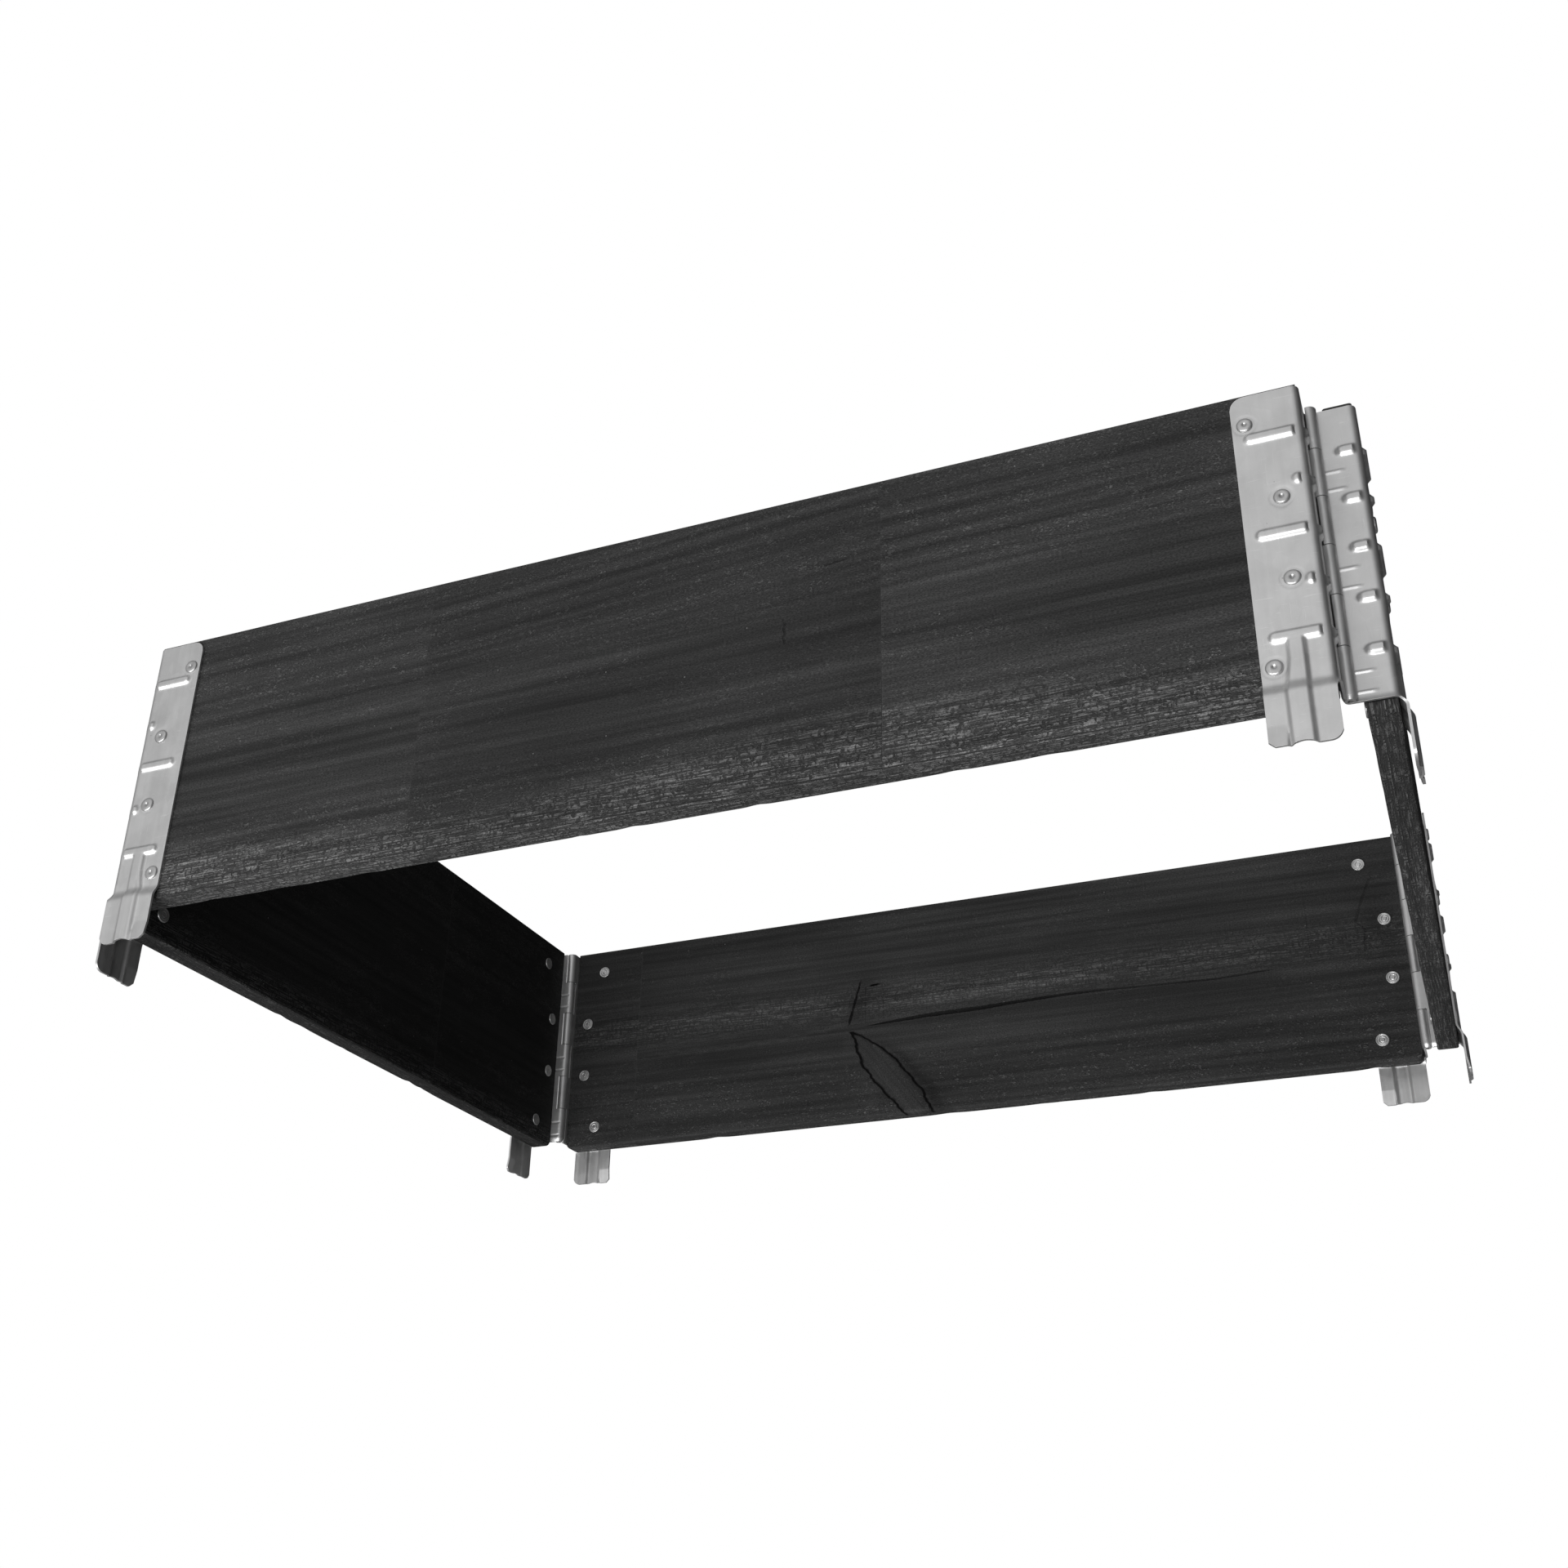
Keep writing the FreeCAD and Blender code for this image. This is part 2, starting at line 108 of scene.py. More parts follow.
MID_RADIUS = BEND_INNER + SHEET / 2                # middle of the sheet in the bend
BEND_TO_PIN = PIN_RADIUS + PIN_PLAY
BEND_RUN = MID_RADIUS * math.pi / 2
BEND_OUT = BEND_INNER + SHEET
BEND_DIP = 2.0                                     # run at which the ribs are lowest in the bend
BEND_CENTRE_X = BEND_TO_PIN + BEND_OUT
BEND_CENTRE_Y = -(PIN_DEPTH - BEND_INNER)
FLANGE_RUN = -BEND_CENTRE_Y                        # from the bend to abreast of the pin axis
CURL_RADIUS = BEND_TO_PIN + SHEET / 2

CORNER_PINS = {
    ("front", "right"): (PIN_X, -PIN_Y),
    ("front", "left"): (-PIN_X, -PIN_Y),
    ("back", "right"): (PIN_X, PIN_Y),
    ("back", "left"): (-PIN_X, PIN_Y),
}
QUARTER = {"front": 0, "right": 1, "back": 2, "left": 3}
FACE_PLACE = {"front": (0, -OUTER_Y), "right": (OUTER_X, 0), "back": (0, OUTER_Y), "left": (-OUTER_X, 0)}
RIGHT_HAND = [("front", "right"), ("right", "back"), ("back", "left"), ("left", "front")]
LEFT_HAND = [("front", "left"), ("right", "front"), ("back", "right"), ("left", "back")]


def pin_of(board, end):
    """Place of the pin in plan at the corner of two boards, named in either order."""
    return CORNER_PINS.get((board, end)) or CORNER_PINS[(end, board)]


# ---------------------------------------------------------------- grids and meshes
def smooth(value):
    """Ease from 0 to 1 as value goes from 0 to 1: three squares less two cubes."""
    held = np.clip(value, 0.0, 1.0)
    return held * held * (3 - 2 * held)


def hump(distance, width):
    """A bell of height 1: e to the power of minus the squared ratio of distance and width."""
    return np.exp(-(distance / width) ** 2)


def ripple(across, along, seed, scale, count=9):
    """Soft noise about 0: a sum of sine waves of random direction, pitch near scale and phase."""
    rng = np.random.default_rng(seed)
    total = np.zeros(np.broadcast(across, along).shape)
    for _ in range(count):
        turn = rng.uniform(0, math.pi)
        pitch = scale * rng.uniform(0.6, 1.8)
        phase = rng.uniform(0, 2 * math.pi)
        total += np.sin((across * math.cos(turn) + along * math.sin(turn)) * 2 * math.pi / pitch + phase)
    return total / count


def graded(low, high, zones, fine, coarse, exact=()):
    """Grid lines from low to high: fine steps inside the zones, coarse ones outside, some lines exact."""
    lines = [low]
    while lines[-1] < high - 1e-6:
        inside = any(first - coarse <= lines[-1] < last for first, last in zones)
        lines.append(min(high, lines[-1] + (fine if inside else coarse)))
    lines = np.array(lines)
    for spot in exact:
        lines = lines[(np.abs(lines - spot) > fine * 0.45) | (lines == low) | (lines == high)]
        lines = np.sort(np.append(lines, spot))
    return np.unique(np.round(lines, 5))


def turned(points, quarters):
    """Points turned about Z by quarter turns."""
    angle = math.pi / 2 * quarters
    x, y, z = points[..., 0], points[..., 1], points[..., 2]
    return np.stack([x * math.cos(angle) - y * math.sin(angle),
                     x * math.sin(angle) + y * math.cos(angle), z], axis=-1)


def new_piece(name, points, faces, body, material, uv=None, values=None, sharp=35.0):
    """A piece from millimetre points and faces. uv is in metres by point; values are point attributes."""
    mesh = bpy.data.meshes.new(name)
    mesh.from_pydata(np.asarray(points, float) * MM, [], [list(face) for face in faces])
    if uv is not None:
        corner = np.zeros(len(mesh.loops), np.int32)
        mesh.loops.foreach_get("vertex_index", corner)
        layer = mesh.uv_layers.new(name="run")
        layer.data.foreach_set("uv", np.asarray(uv, np.float32)[corner].ravel())
    for key, data in (values or {}).items():
        mesh.attributes.new(key, "FLOAT", "POINT").data.foreach_set("value", np.asarray(data, np.float32))
    mesh.shade_smooth()
    mesh.set_sharp_from_angle(angle=math.radians(sharp))
    mesh.validate()
    piece = bpy.data.objects.new(name, mesh)
    bpy.context.scene.collection.objects.link(piece)
    mesh.materials.append(material)
    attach(piece, body)
    return piece


def sheet_faces(kept):
    """Faces of a sheet on a grid whose cells are kept or not: two sides and a wall along every open edge.

    Point (i, j) of the outer side has number i * columns + j, and the inner side follows after it.
    """
    rows, columns = kept.shape[0] + 1, kept.shape[1] + 1
    number = np.arange(rows * columns).reshape(rows, columns)
    a, b, c, d = number[:-1, :-1], number[1:, :-1], number[1:, 1:], number[:-1, 1:]
    under = rows * columns
    faces = [np.stack([a, b, c, d], -1)[kept], np.stack([d, c, b, a], -1)[kept] + under]
    framed = np.pad(kept, 1)
    sides = [(framed[:-2, 1:-1], d, a), (framed[2:, 1:-1], b, c),
             (framed[1:-1, :-2], a, b), (framed[1:-1, 2:], c, d)]
    for neighbour, first, last in sides:
        open_edge = kept & ~neighbour
        start, stop = first[open_edge], last[open_edge]
        faces.append(np.stack([stop, start, start + under, stop + under], -1))
    return np.concatenate(faces)


def drop_unused(points, faces, *tables):
    """Leave out the points that no face uses, here and in the tables that go with them."""
    used = np.unique(faces)
    renumber = np.zeros(len(points), int)
    renumber[used] = np.arange(len(used))
    return (points[used], renumber[faces]) + tuple(table[used] for table in tables)


# ---------------------------------------------------------------- shader helpers
def feed(tree, node, inputs):
    """Give a node its inputs: a socket's name or number goes with a value or with the socket behind it."""
    for key, given in inputs.items():
        if isinstance(given, bpy.types.NodeSocket):
            tree.links.new(given, node.inputs[key])
        else:
            node.inputs[key].default_value = given
    return node


def add(tree, kind, inputs=None, **settings):
    """A new node with its settings and inputs."""
    node = tree.nodes.new(kind)
    for key, setting in settings.items():
        setattr(node, key, setting)
    return feed(tree, node, inputs or {})


def maths(tree, operation, first, second=0.0, third=0.0, clamp=False):
    """One sum of up to three values."""
    values = {0: first, 1: second, 2: third}
    return add(tree, "ShaderNodeMath", values, operation=operation, use_clamp=clamp).outputs[0]


def ramp(tree, factor, low, high, to_low=0.0, to_high=1.0):
    """Factor from low..high to to_low..to_high, held at the ends."""
    values = {"Value": factor, "From Min": low, "From Max": high, "To Min": to_low, "To Max": to_high}
    return add(tree, "ShaderNodeMapRange", values).outputs[0]


def stretched(tree, vector, sizes, offset=(0, 0, 0)):
    """The vector multiplied by sizes, so that a pattern is drawn out."""
    values = {"Vector": vector, "Scale": sizes, "Location": offset}
    return add(tree, "ShaderNodeMapping", values).outputs[0]


def noise(tree, vector, scale, detail=4.0, rough=0.55, twist=0.0):
    """Cloudy noise about 0.5."""
    values = {"Vector": vector, "Scale": scale, "Detail": detail, "Roughness": rough, "Distortion": twist}
    return add(tree, "ShaderNodeTexNoise", values).outputs["Fac"]


def new_group(name, inputs, outputs):
    """A shader node group with named float or vector inputs and float outputs."""
    tree = bpy.data.node_groups.new(name, "ShaderNodeTree")
    for label, start in inputs:
        kind = "NodeSocketVector" if start is None else "NodeSocketFloat"
        socket = tree.interface.new_socket(label, in_out="INPUT", socket_type=kind)
        if start is not None:
            socket.default_value = start
    for label in outputs:
        tree.interface.new_socket(label, in_out="OUTPUT", socket_type="NodeSocketFloat")
    return tree, tree.nodes.new("NodeGroupInput").outputs, tree.nodes.new("NodeGroupOutput").inputs


def use(tree, group, inputs):
    """The group placed in a tree with its own values; gives its outputs."""
    node = tree.nodes.new("ShaderNodeGroup")
    node.node_tree = group
    return feed(tree, node, inputs).outputs


def grey(tree, value):
    """A grey colour from one value."""
    return add(tree, "ShaderNodeCombineColor", {0: value, 1: value, 2: value}).outputs[0]


def new_material(name):
    """A new material, its tree and its Principled shader."""
    material = bpy.data.materials.new(name)
    material.use_nodes = True
    tree = material.node_tree
    shader = tree.nodes["Principled BSDF"]
    return material, tree, shader


# ---------------------------------------------------------------- shared effects
def drift_group():
    """Slow change of tone over a surface: noise brought between Low and High."""
    tree, given, result = new_group(
        "tone_drift", [("Vector", None), ("Scale", 20.0), ("Low", 0.9), ("High", 1.1)], ["Tone"])
    cloud = noise(tree, given["Vector"], given["Scale"], 3.0)
    tree.links.new(ramp(tree, cloud, 0.3, 0.7, given["Low"], given["High"]), result["Tone"])
    return tree


def scratch_group():
    """Thin short lines: noise drawn out along one way, of which only the peaks are kept."""
    tree, given, result = new_group(
        "scratches", [("Vector", None), ("Scale", 60.0), ("Share", 0.7)], ["Mask"])
    fine = noise(tree, given["Vector"], given["Scale"], 2.0, 0.4, 0.6)
    edge = maths(tree, "ADD", given["Share"], 0.03)
    tree.links.new(ramp(tree, fine, given["Share"], edge), result["Mask"])
    return tree


DRIFT = drift_group()
SCRATCHES = scratch_group()


# ---------------------------------------------------------------- materials
WOOD_TONE = 0.024                                  # reflectance of the stained wood
TORN_TONE = 0.10                                   # what torn fibre adds to it


def crack_group():
    """Painted shade inside a crack: a mask whose distance over half width is given, 1 within it, 0 outside
    its lips.
    """
    tree, given, result = new_group("crack", [("Distance", 9.0), ("Ragged", 0.0)], ["Mask"])
    away = maths(tree, "ABSOLUTE", maths(tree, "ADD", given["Distance"], given["Ragged"]))
    tree.links.new(ramp(tree, away, 1.1, 0.6), result["Mask"])
    return tree


def fibre_group():
    """Sawn fibre: Ridges are long thin lines broken across, Curls are short bent tufts."""
    tree, given, result = new_group("sawn_fibre", [("Run", None)], ["Ridges", "Curls"])
    run = given["Run"]
    lines = noise(tree, stretched(tree, run, (55, 950, 1)), 1.0, 1.0, 0.4, 0.15)
    breaks = noise(tree, stretched(tree, run, (420, 260, 1)), 1.0, 1.0, 0.4, 0.6)
    broken = maths(tree, "MULTIPLY", ramp(tree, lines, 0.42, 0.62), ramp(tree, breaks, 0.38, 0.52))
    tree.links.new(broken, result["Ridges"])
    tufts = noise(tree, stretched(tree, run, (300, 620, 1)), 1.0, 2.0, 0.6, 1.6)
    tree.links.new(ramp(tree, tufts, 0.5, 0.66), result["Curls"])
    return tree


CRACK = crack_group()
FIBRE = fibre_group()


def stained_wood():
    """Rough-sawn softwood under black stain: torn fibre, year-ring streaks, cracks with painted shade
    inside, worn edges.
    """
    material, tree, shader = new_material("stained_wood")
    run = add(tree, "ShaderNodeUVMap", uv_map="run").outputs[0]

    def painted(name):
        """A value kept at the points of the mesh."""
        return add(tree, "ShaderNodeAttribute", attribute_name=name).outputs["Fac"]

    fibre = use(tree, FIBRE, {"Run": run})
    patches = ramp(tree, noise(tree, stretched(tree, run, (9, 22, 1)), 1.0, 3.0), 0.44, 0.66, 0.0, 0.6)
    fuzzy = maths(tree, "MAXIMUM", maths(tree, "MULTIPLY", patches, 0.8), painted("fibrous"))
    clumps = ramp(tree, noise(tree, stretched(tree, run, (60, 110, 1)), 1.0, 2.0), 0.36, 0.6)
    tufts = maths(tree, "MULTIPLY", fibre["Curls"], maths(tree, "MULTIPLY", fuzzy, clumps))
    ridges = maths(tree, "MULTIPLY", fibre["Ridges"], painted("ridged"))
    torn = maths(tree, "MAXIMUM", tufts, ridges)

    streaks = noise(tree, stretched(tree, run, (4, 170, 1)), 1.0, 5.0)
    belts = noise(tree, stretched(tree, run, (2.5, 30, 1)), 1.0, 2.0)
    figure = maths(tree, "MULTIPLY", ramp(tree, streaks, 0.34, 0.66, 0.6, 1.4),
                   ramp(tree, belts, 0.35, 0.65, 0.85, 1.15))
    grain = noise(tree, stretched(tree, run, (700, 1500, 1)), 1.0, 2.0)
    clouds = use(tree, DRIFT, {"Vector": run, "Scale": 11.0, "Low": 0.86, "High": 1.12})["Tone"]
    # The per-point tone read here also holds painted light and shade from the boards.
    tone = maths(tree, "MULTIPLY", maths(tree, "MULTIPLY", figure, clouds), painted("stave"))
    tone = maths(tree, "MULTIPLY", tone, ramp(tree, grain, 0.32, 0.68, 0.5, 1.5))

    wander = maths(tree, "SUBTRACT", noise(tree, run, 260.0, 2.0), 0.5)
    knot = painted("knot")
    from_lip = maths(tree, "MULTIPLY", knot, 0.8)
    knot_lip_and_shade = use(tree, CRACK, {"Distance": from_lip, "Ragged": wander})["Mask"]
    split = use(tree, CRACK, {"Distance": painted("split"), "Ragged": wander})["Mask"]
    cleft = use(tree, CRACK, {"Distance": painted("cleft"), "Ragged": wander})["Mask"]
    split = maths(tree, "MULTIPLY", split, painted("split_depth"))
    cleft = maths(tree, "MULTIPLY", cleft, painted("cleft_depth"))
    crack_and_shade = maths(tree, "MAXIMUM", split, cleft)
    dark = maths(tree, "MAXIMUM", crack_and_shade, maths(tree, "MULTIPLY", knot_lip_and_shade, 0.8))

    base = maths(tree, "MULTIPLY", tone, WOOD_TONE)
    light = maths(tree, "MULTIPLY", maths(tree, "MULTIPLY", torn, tone), TORN_TONE)
    scuffed = maths(tree, "MULTIPLY", painted("worn"), 0.012)
    seam = maths(tree, "MULTIPLY", painted("glue_line"), 0.012)
    speck_place = stretched(tree, run, (70, 70, 1))
    speck_field = add(tree, "ShaderNodeTexVoronoi", {"Vector": speck_place, "Scale": 1.0})
    speck = maths(tree, "MULTIPLY", maths(tree, "LESS_THAN", speck_field.outputs["Distance"], 0.03), 0.12)
    value = maths(tree, "ADD", maths(tree, "ADD", base, light), maths(tree, "ADD", scuffed, speck))
    value = maths(tree, "ADD", value, seam)
    # Painted shade: inside cracks and along the knot's lips the colour falls to an eighth and the specular
    # to nothing.
    value = maths(tree, "MULTIPLY", value, ramp(tree, dark, 0.0, 1.0, 1.0, 0.12))
    tree.links.new(grey(tree, value), shader.inputs["Base Color"])
    tree.links.new(ramp(tree, torn, 0.0, 1.0, 0.72, 0.5), shader.inputs["Roughness"])
    tree.links.new(ramp(tree, dark, 0.0, 1.0, 0.22, 0.0), shader.inputs["Specular IOR Level"])

    relief = maths(tree, "ADD", maths(tree, "MULTIPLY", torn, 0.8), maths(tree, "MULTIPLY", streaks, 0.5))
    relief = maths(tree, "ADD", relief, maths(tree, "MULTIPLY", grain, 0.12))
    relief = maths(tree, "SUBTRACT", relief, dark)
    bump = add(tree, "ShaderNodeBump", {"Height": relief, "Strength": 1.0, "Distance": 0.0011})
    tree.links.new(bump.outputs[0], shader.inputs["Normal"])
    return material


def galvanised_sheet():
    """Zinc-coated pressed steel: faint rolled streaks, spangle, scuffs and a few dark specks."""
    material, tree, shader = new_material("galvanised_sheet")
    run = add(tree, "ShaderNodeUVMap", uv_map="run").outputs[0]
    spangle = add(tree, "ShaderNodeTexVoronoi", {"Vector": stretched(tree, run, (130, 90, 1)), "Scale": 1.0})
    cell = add(tree, "ShaderNodeSeparateColor", {0: spangle.outputs["Color"]}).outputs[0]
    rolled = noise(tree, stretched(tree, run, (260, 7, 1)), 1.0, 3.0)
    scuff = use(tree, SCRATCHES, {"Vector": stretched(tree, run, (90, 900, 1)), "Scale": 1.0, "Share": 0.68})
    drawn_up = stretched(tree, run, (1100, 60, 1))
    upright = use(tree, SCRATCHES, {"Vector": drawn_up, "Scale": 1.0, "Share": 0.7})
    drift = use(tree, DRIFT, {"Vector": run, "Scale": 45.0, "Low": 0.92, "High": 1.05})["Tone"]
    marks = maths(tree, "ADD", scuff["Mask"], upright["Mask"], clamp=True)
    speck_place = stretched(tree, run, (95, 95, 1))
    speck_field = add(tree, "ShaderNodeTexVoronoi", {"Vector": speck_place, "Scale": 1.0})
    speck = maths(tree, "LESS_THAN", speck_field.outputs["Distance"], 0.03)

    tone = maths(tree, "MULTIPLY", drift, ramp(tree, cell, 0.0, 1.0, 0.97, 1.03))
    tone = maths(tree, "MULTIPLY", tone, ramp(tree, rolled, 0.3, 0.7, 0.95, 1.04))
    value = maths(tree, "MULTIPLY", tone, 0.62)
    value = maths(tree, "SUBTRACT", value, maths(tree, "MULTIPLY", speck, 0.3))
    value = maths(tree, "ADD", value, maths(tree, "MULTIPLY", marks, 0.06))
    tree.links.new(grey(tree, value), shader.inputs["Base Color"])
    shader.inputs["Metallic"].default_value = 0.9
    streaked = ramp(tree, rolled, 0.3, 0.7, 0.36, 0.46)
    shine = maths(tree, "ADD", streaked, maths(tree, "MULTIPLY", cell, 0.05))
    tree.links.new(shine, shader.inputs["Roughness"])

    skin = noise(tree, run, 900.0, 2.0)
    relief = maths(tree, "ADD", maths(tree, "MULTIPLY", skin, 0.25), maths(tree, "MULTIPLY", marks, -0.5))
    bump = add(tree, "ShaderNodeBump", {"Height": relief, "Strength": 0.35, "Distance": 0.0001})
    tree.links.new(bump.outputs[0], shader.inputs["Normal"])
    return material


def bare_steel(name, tone, shine):
    """Drawn or turned steel in Object coordinates: fine lines and drifting tone."""
    material, tree, shader = new_material(name)
    spot = add(tree, "ShaderNodeTexCoord").outputs["Object"]
    drift = use(tree, DRIFT, {"Vector": spot, "Scale": 160.0, "Low": 0.85, "High": 1.08})["Tone"]
    drawn_out = stretched(tree, spot, (900, 900, 90))
    lines = use(tree, SCRATCHES, {"Vector": drawn_out, "Scale": 1.0, "Share": 0.64})
    value = maths(tree, "MULTIPLY", drift, tone)
    value = maths(tree, "ADD", value, maths(tree, "MULTIPLY", lines["Mask"], 0.08))
    tree.links.new(grey(tree, value), shader.inputs["Base Color"])
    shader.inputs["Metallic"].default_value = 0.9
    tree.links.new(ramp(tree, drift, 0.85, 1.08, shine + 0.08, shine), shader.inputs["Roughness"])
    grain = noise(tree, spot, 1400.0, 2.0)
    bump = add(tree, "ShaderNodeBump", {"Height": grain, "Strength": 0.3, "Distance": 0.0001})
    tree.links.new(bump.outputs[0], shader.inputs["Normal"])
    return material


WOOD = stained_wood()
ZINC = galvanised_sheet()
RIVET = bare_steel("rivet_steel", 0.5, 0.34)
PIN = bare_steel("pin_steel", 0.45, 0.3)


# ---------------------------------------------------------------- hinge leaves
def across_sheet(inset):
    """Place along the sheet of a spot on the plate, inset from the outside of the bend."""
    return BEND_OUT - inset


def leaf_path(run):
    """Middle of the sheet in plan and its outward normal, at a length run along the sheet.

    Plate up to 0, then a quarter circle, the flange, and a circle round the pin that starts abreast of
    the pin axis. The plate lies towards -X and the board's outer face looks along -Y.
    """
    bend = np.clip(run / MID_RADIUS, 0, math.pi / 2)
    flange = np.clip(run - BEND_RUN, 0, FLANGE_RUN)
    curl = np.clip(run - BEND_RUN - FLANGE_RUN, 0, None) / CURL_RADIUS
    x = -BEND_CENTRE_X + np.minimum(run, 0) + MID_RADIUS * np.sin(bend)
    y = BEND_CENTRE_Y - MID_RADIUS * np.cos(bend) + flange
    on_curl = curl > 0
    x = np.where(on_curl, -CURL_RADIUS * np.cos(curl), x)
    y = np.where(on_curl, CURL_RADIUS * np.sin(curl), y)
    away_x = np.where(on_curl, np.cos(curl), np.sin(bend))
    away_y = np.where(on_curl, -np.sin(curl), -np.cos(bend))
    return x, y, away_x, away_y


def bar(run, level, first, last, height_at, half_width, flank):
    """A pressed rib: 1 on its crest, easing to 0 over flank, with round ends, along the sheet."""
    beyond = np.maximum(np.maximum(first + half_width - run, run - last + half_width), 0)
    distance = np.hypot(beyond, level - height_at)
    return smooth((half_width - distance) / flank)


def leaf_relief(run, level, left_hand, seed):
    """How far the pressed sheet stands out of its plane, as the largest of its ribs plus soft swells."""
    rib_far = BEND_RUN + RIB_FLANGE - BEND_OUT
    height = np.zeros(np.broadcast(run, level).shape)
    over_bend = 0.06 + 0.94 * smooth((np.abs(run - BEND_DIP) - 2.4) / 1.4)
    for count in range(RIB_COUNT):
        reach = RIB_SHORT if count % 2 else RIB_LONG
        rib = bar(run, level, across_sheet(reach), rib_far, RIB_TOP - RIB_PITCH * count,
                  RIB_HALF, RIB_FLANK)
        height = np.maximum(height, rib * RIB_HEIGHT * over_bend)
    lowest = RIB_TOP - RIB_PITCH * (RIB_COUNT - 1)
    widen = smooth((lowest - 12 - level) / 22)
    centre = across_sheet(18.0) - 1.6 * widen
    half = 5.6 + 1.4 * widen
    upright = smooth((half - np.abs(run - centre)) / 2.8) * smooth((lowest + 1.0 - level) / 3.0)
    height = np.maximum(height, upright * (RIB_HEIGHT - 0.1))
    for count in (1, 3):
        swell = hump(np.hypot(run - across_sheet(11.5), (level - RIB_TOP + RIB_PITCH * count) + 1.0), 6.5)
        height = height + 0.5 * swell * (1 - height / RIB_HEIGHT)
    for spot, upward in rivet_spots():
        away = np.hypot(run - across_sheet(spot), level - upward)
        ring = hump(away - 5.75, 0.45)
        height = height - 0.3 * ring - 0.1 * smooth((6.6 - away) / 1.2)
    if left_hand:
        for spot in stiffener_levels():
            stiffener = bar(run, level, BEND_RUN + FLANGE_RUN - 13.5, BEND_RUN + FLANGE_RUN + 1.5,
                            spot, 1.1, 0.8)
            height = np.maximum(height, stiffener * 0.7)
    wave = ripple(run, level, seed, 38.0) * 0.10 * smooth((FLANGE_RUN + BEND_RUN - 3 - run) / 4)
    return height + wave


def stiffener_levels():
    """Heights of the thin pressed lines that run from the flange on to the left-hand leaf's knuckles."""
    levels = []
    for count in range(3):
        low = KNUCKLE_LOW + KNUCKLE_PITCH * 2 * count
        levels += [low + 5.7, low + KNUCKLE_PITCH - 13.5]
    return levels


def rivet_spots():
    """Inset from the outside of the bend and height of the four rivets of a leaf."""
    spots = []
    for count in range(RIVETS_PER_LEAF):
        inset = RIVET_FAR if count in (0, RIVETS_PER_LEAF - 1) else RIVET_NEAR
        spots.append((inset, RIVET_LOW + RIVET_PITCH * count))
    return spots


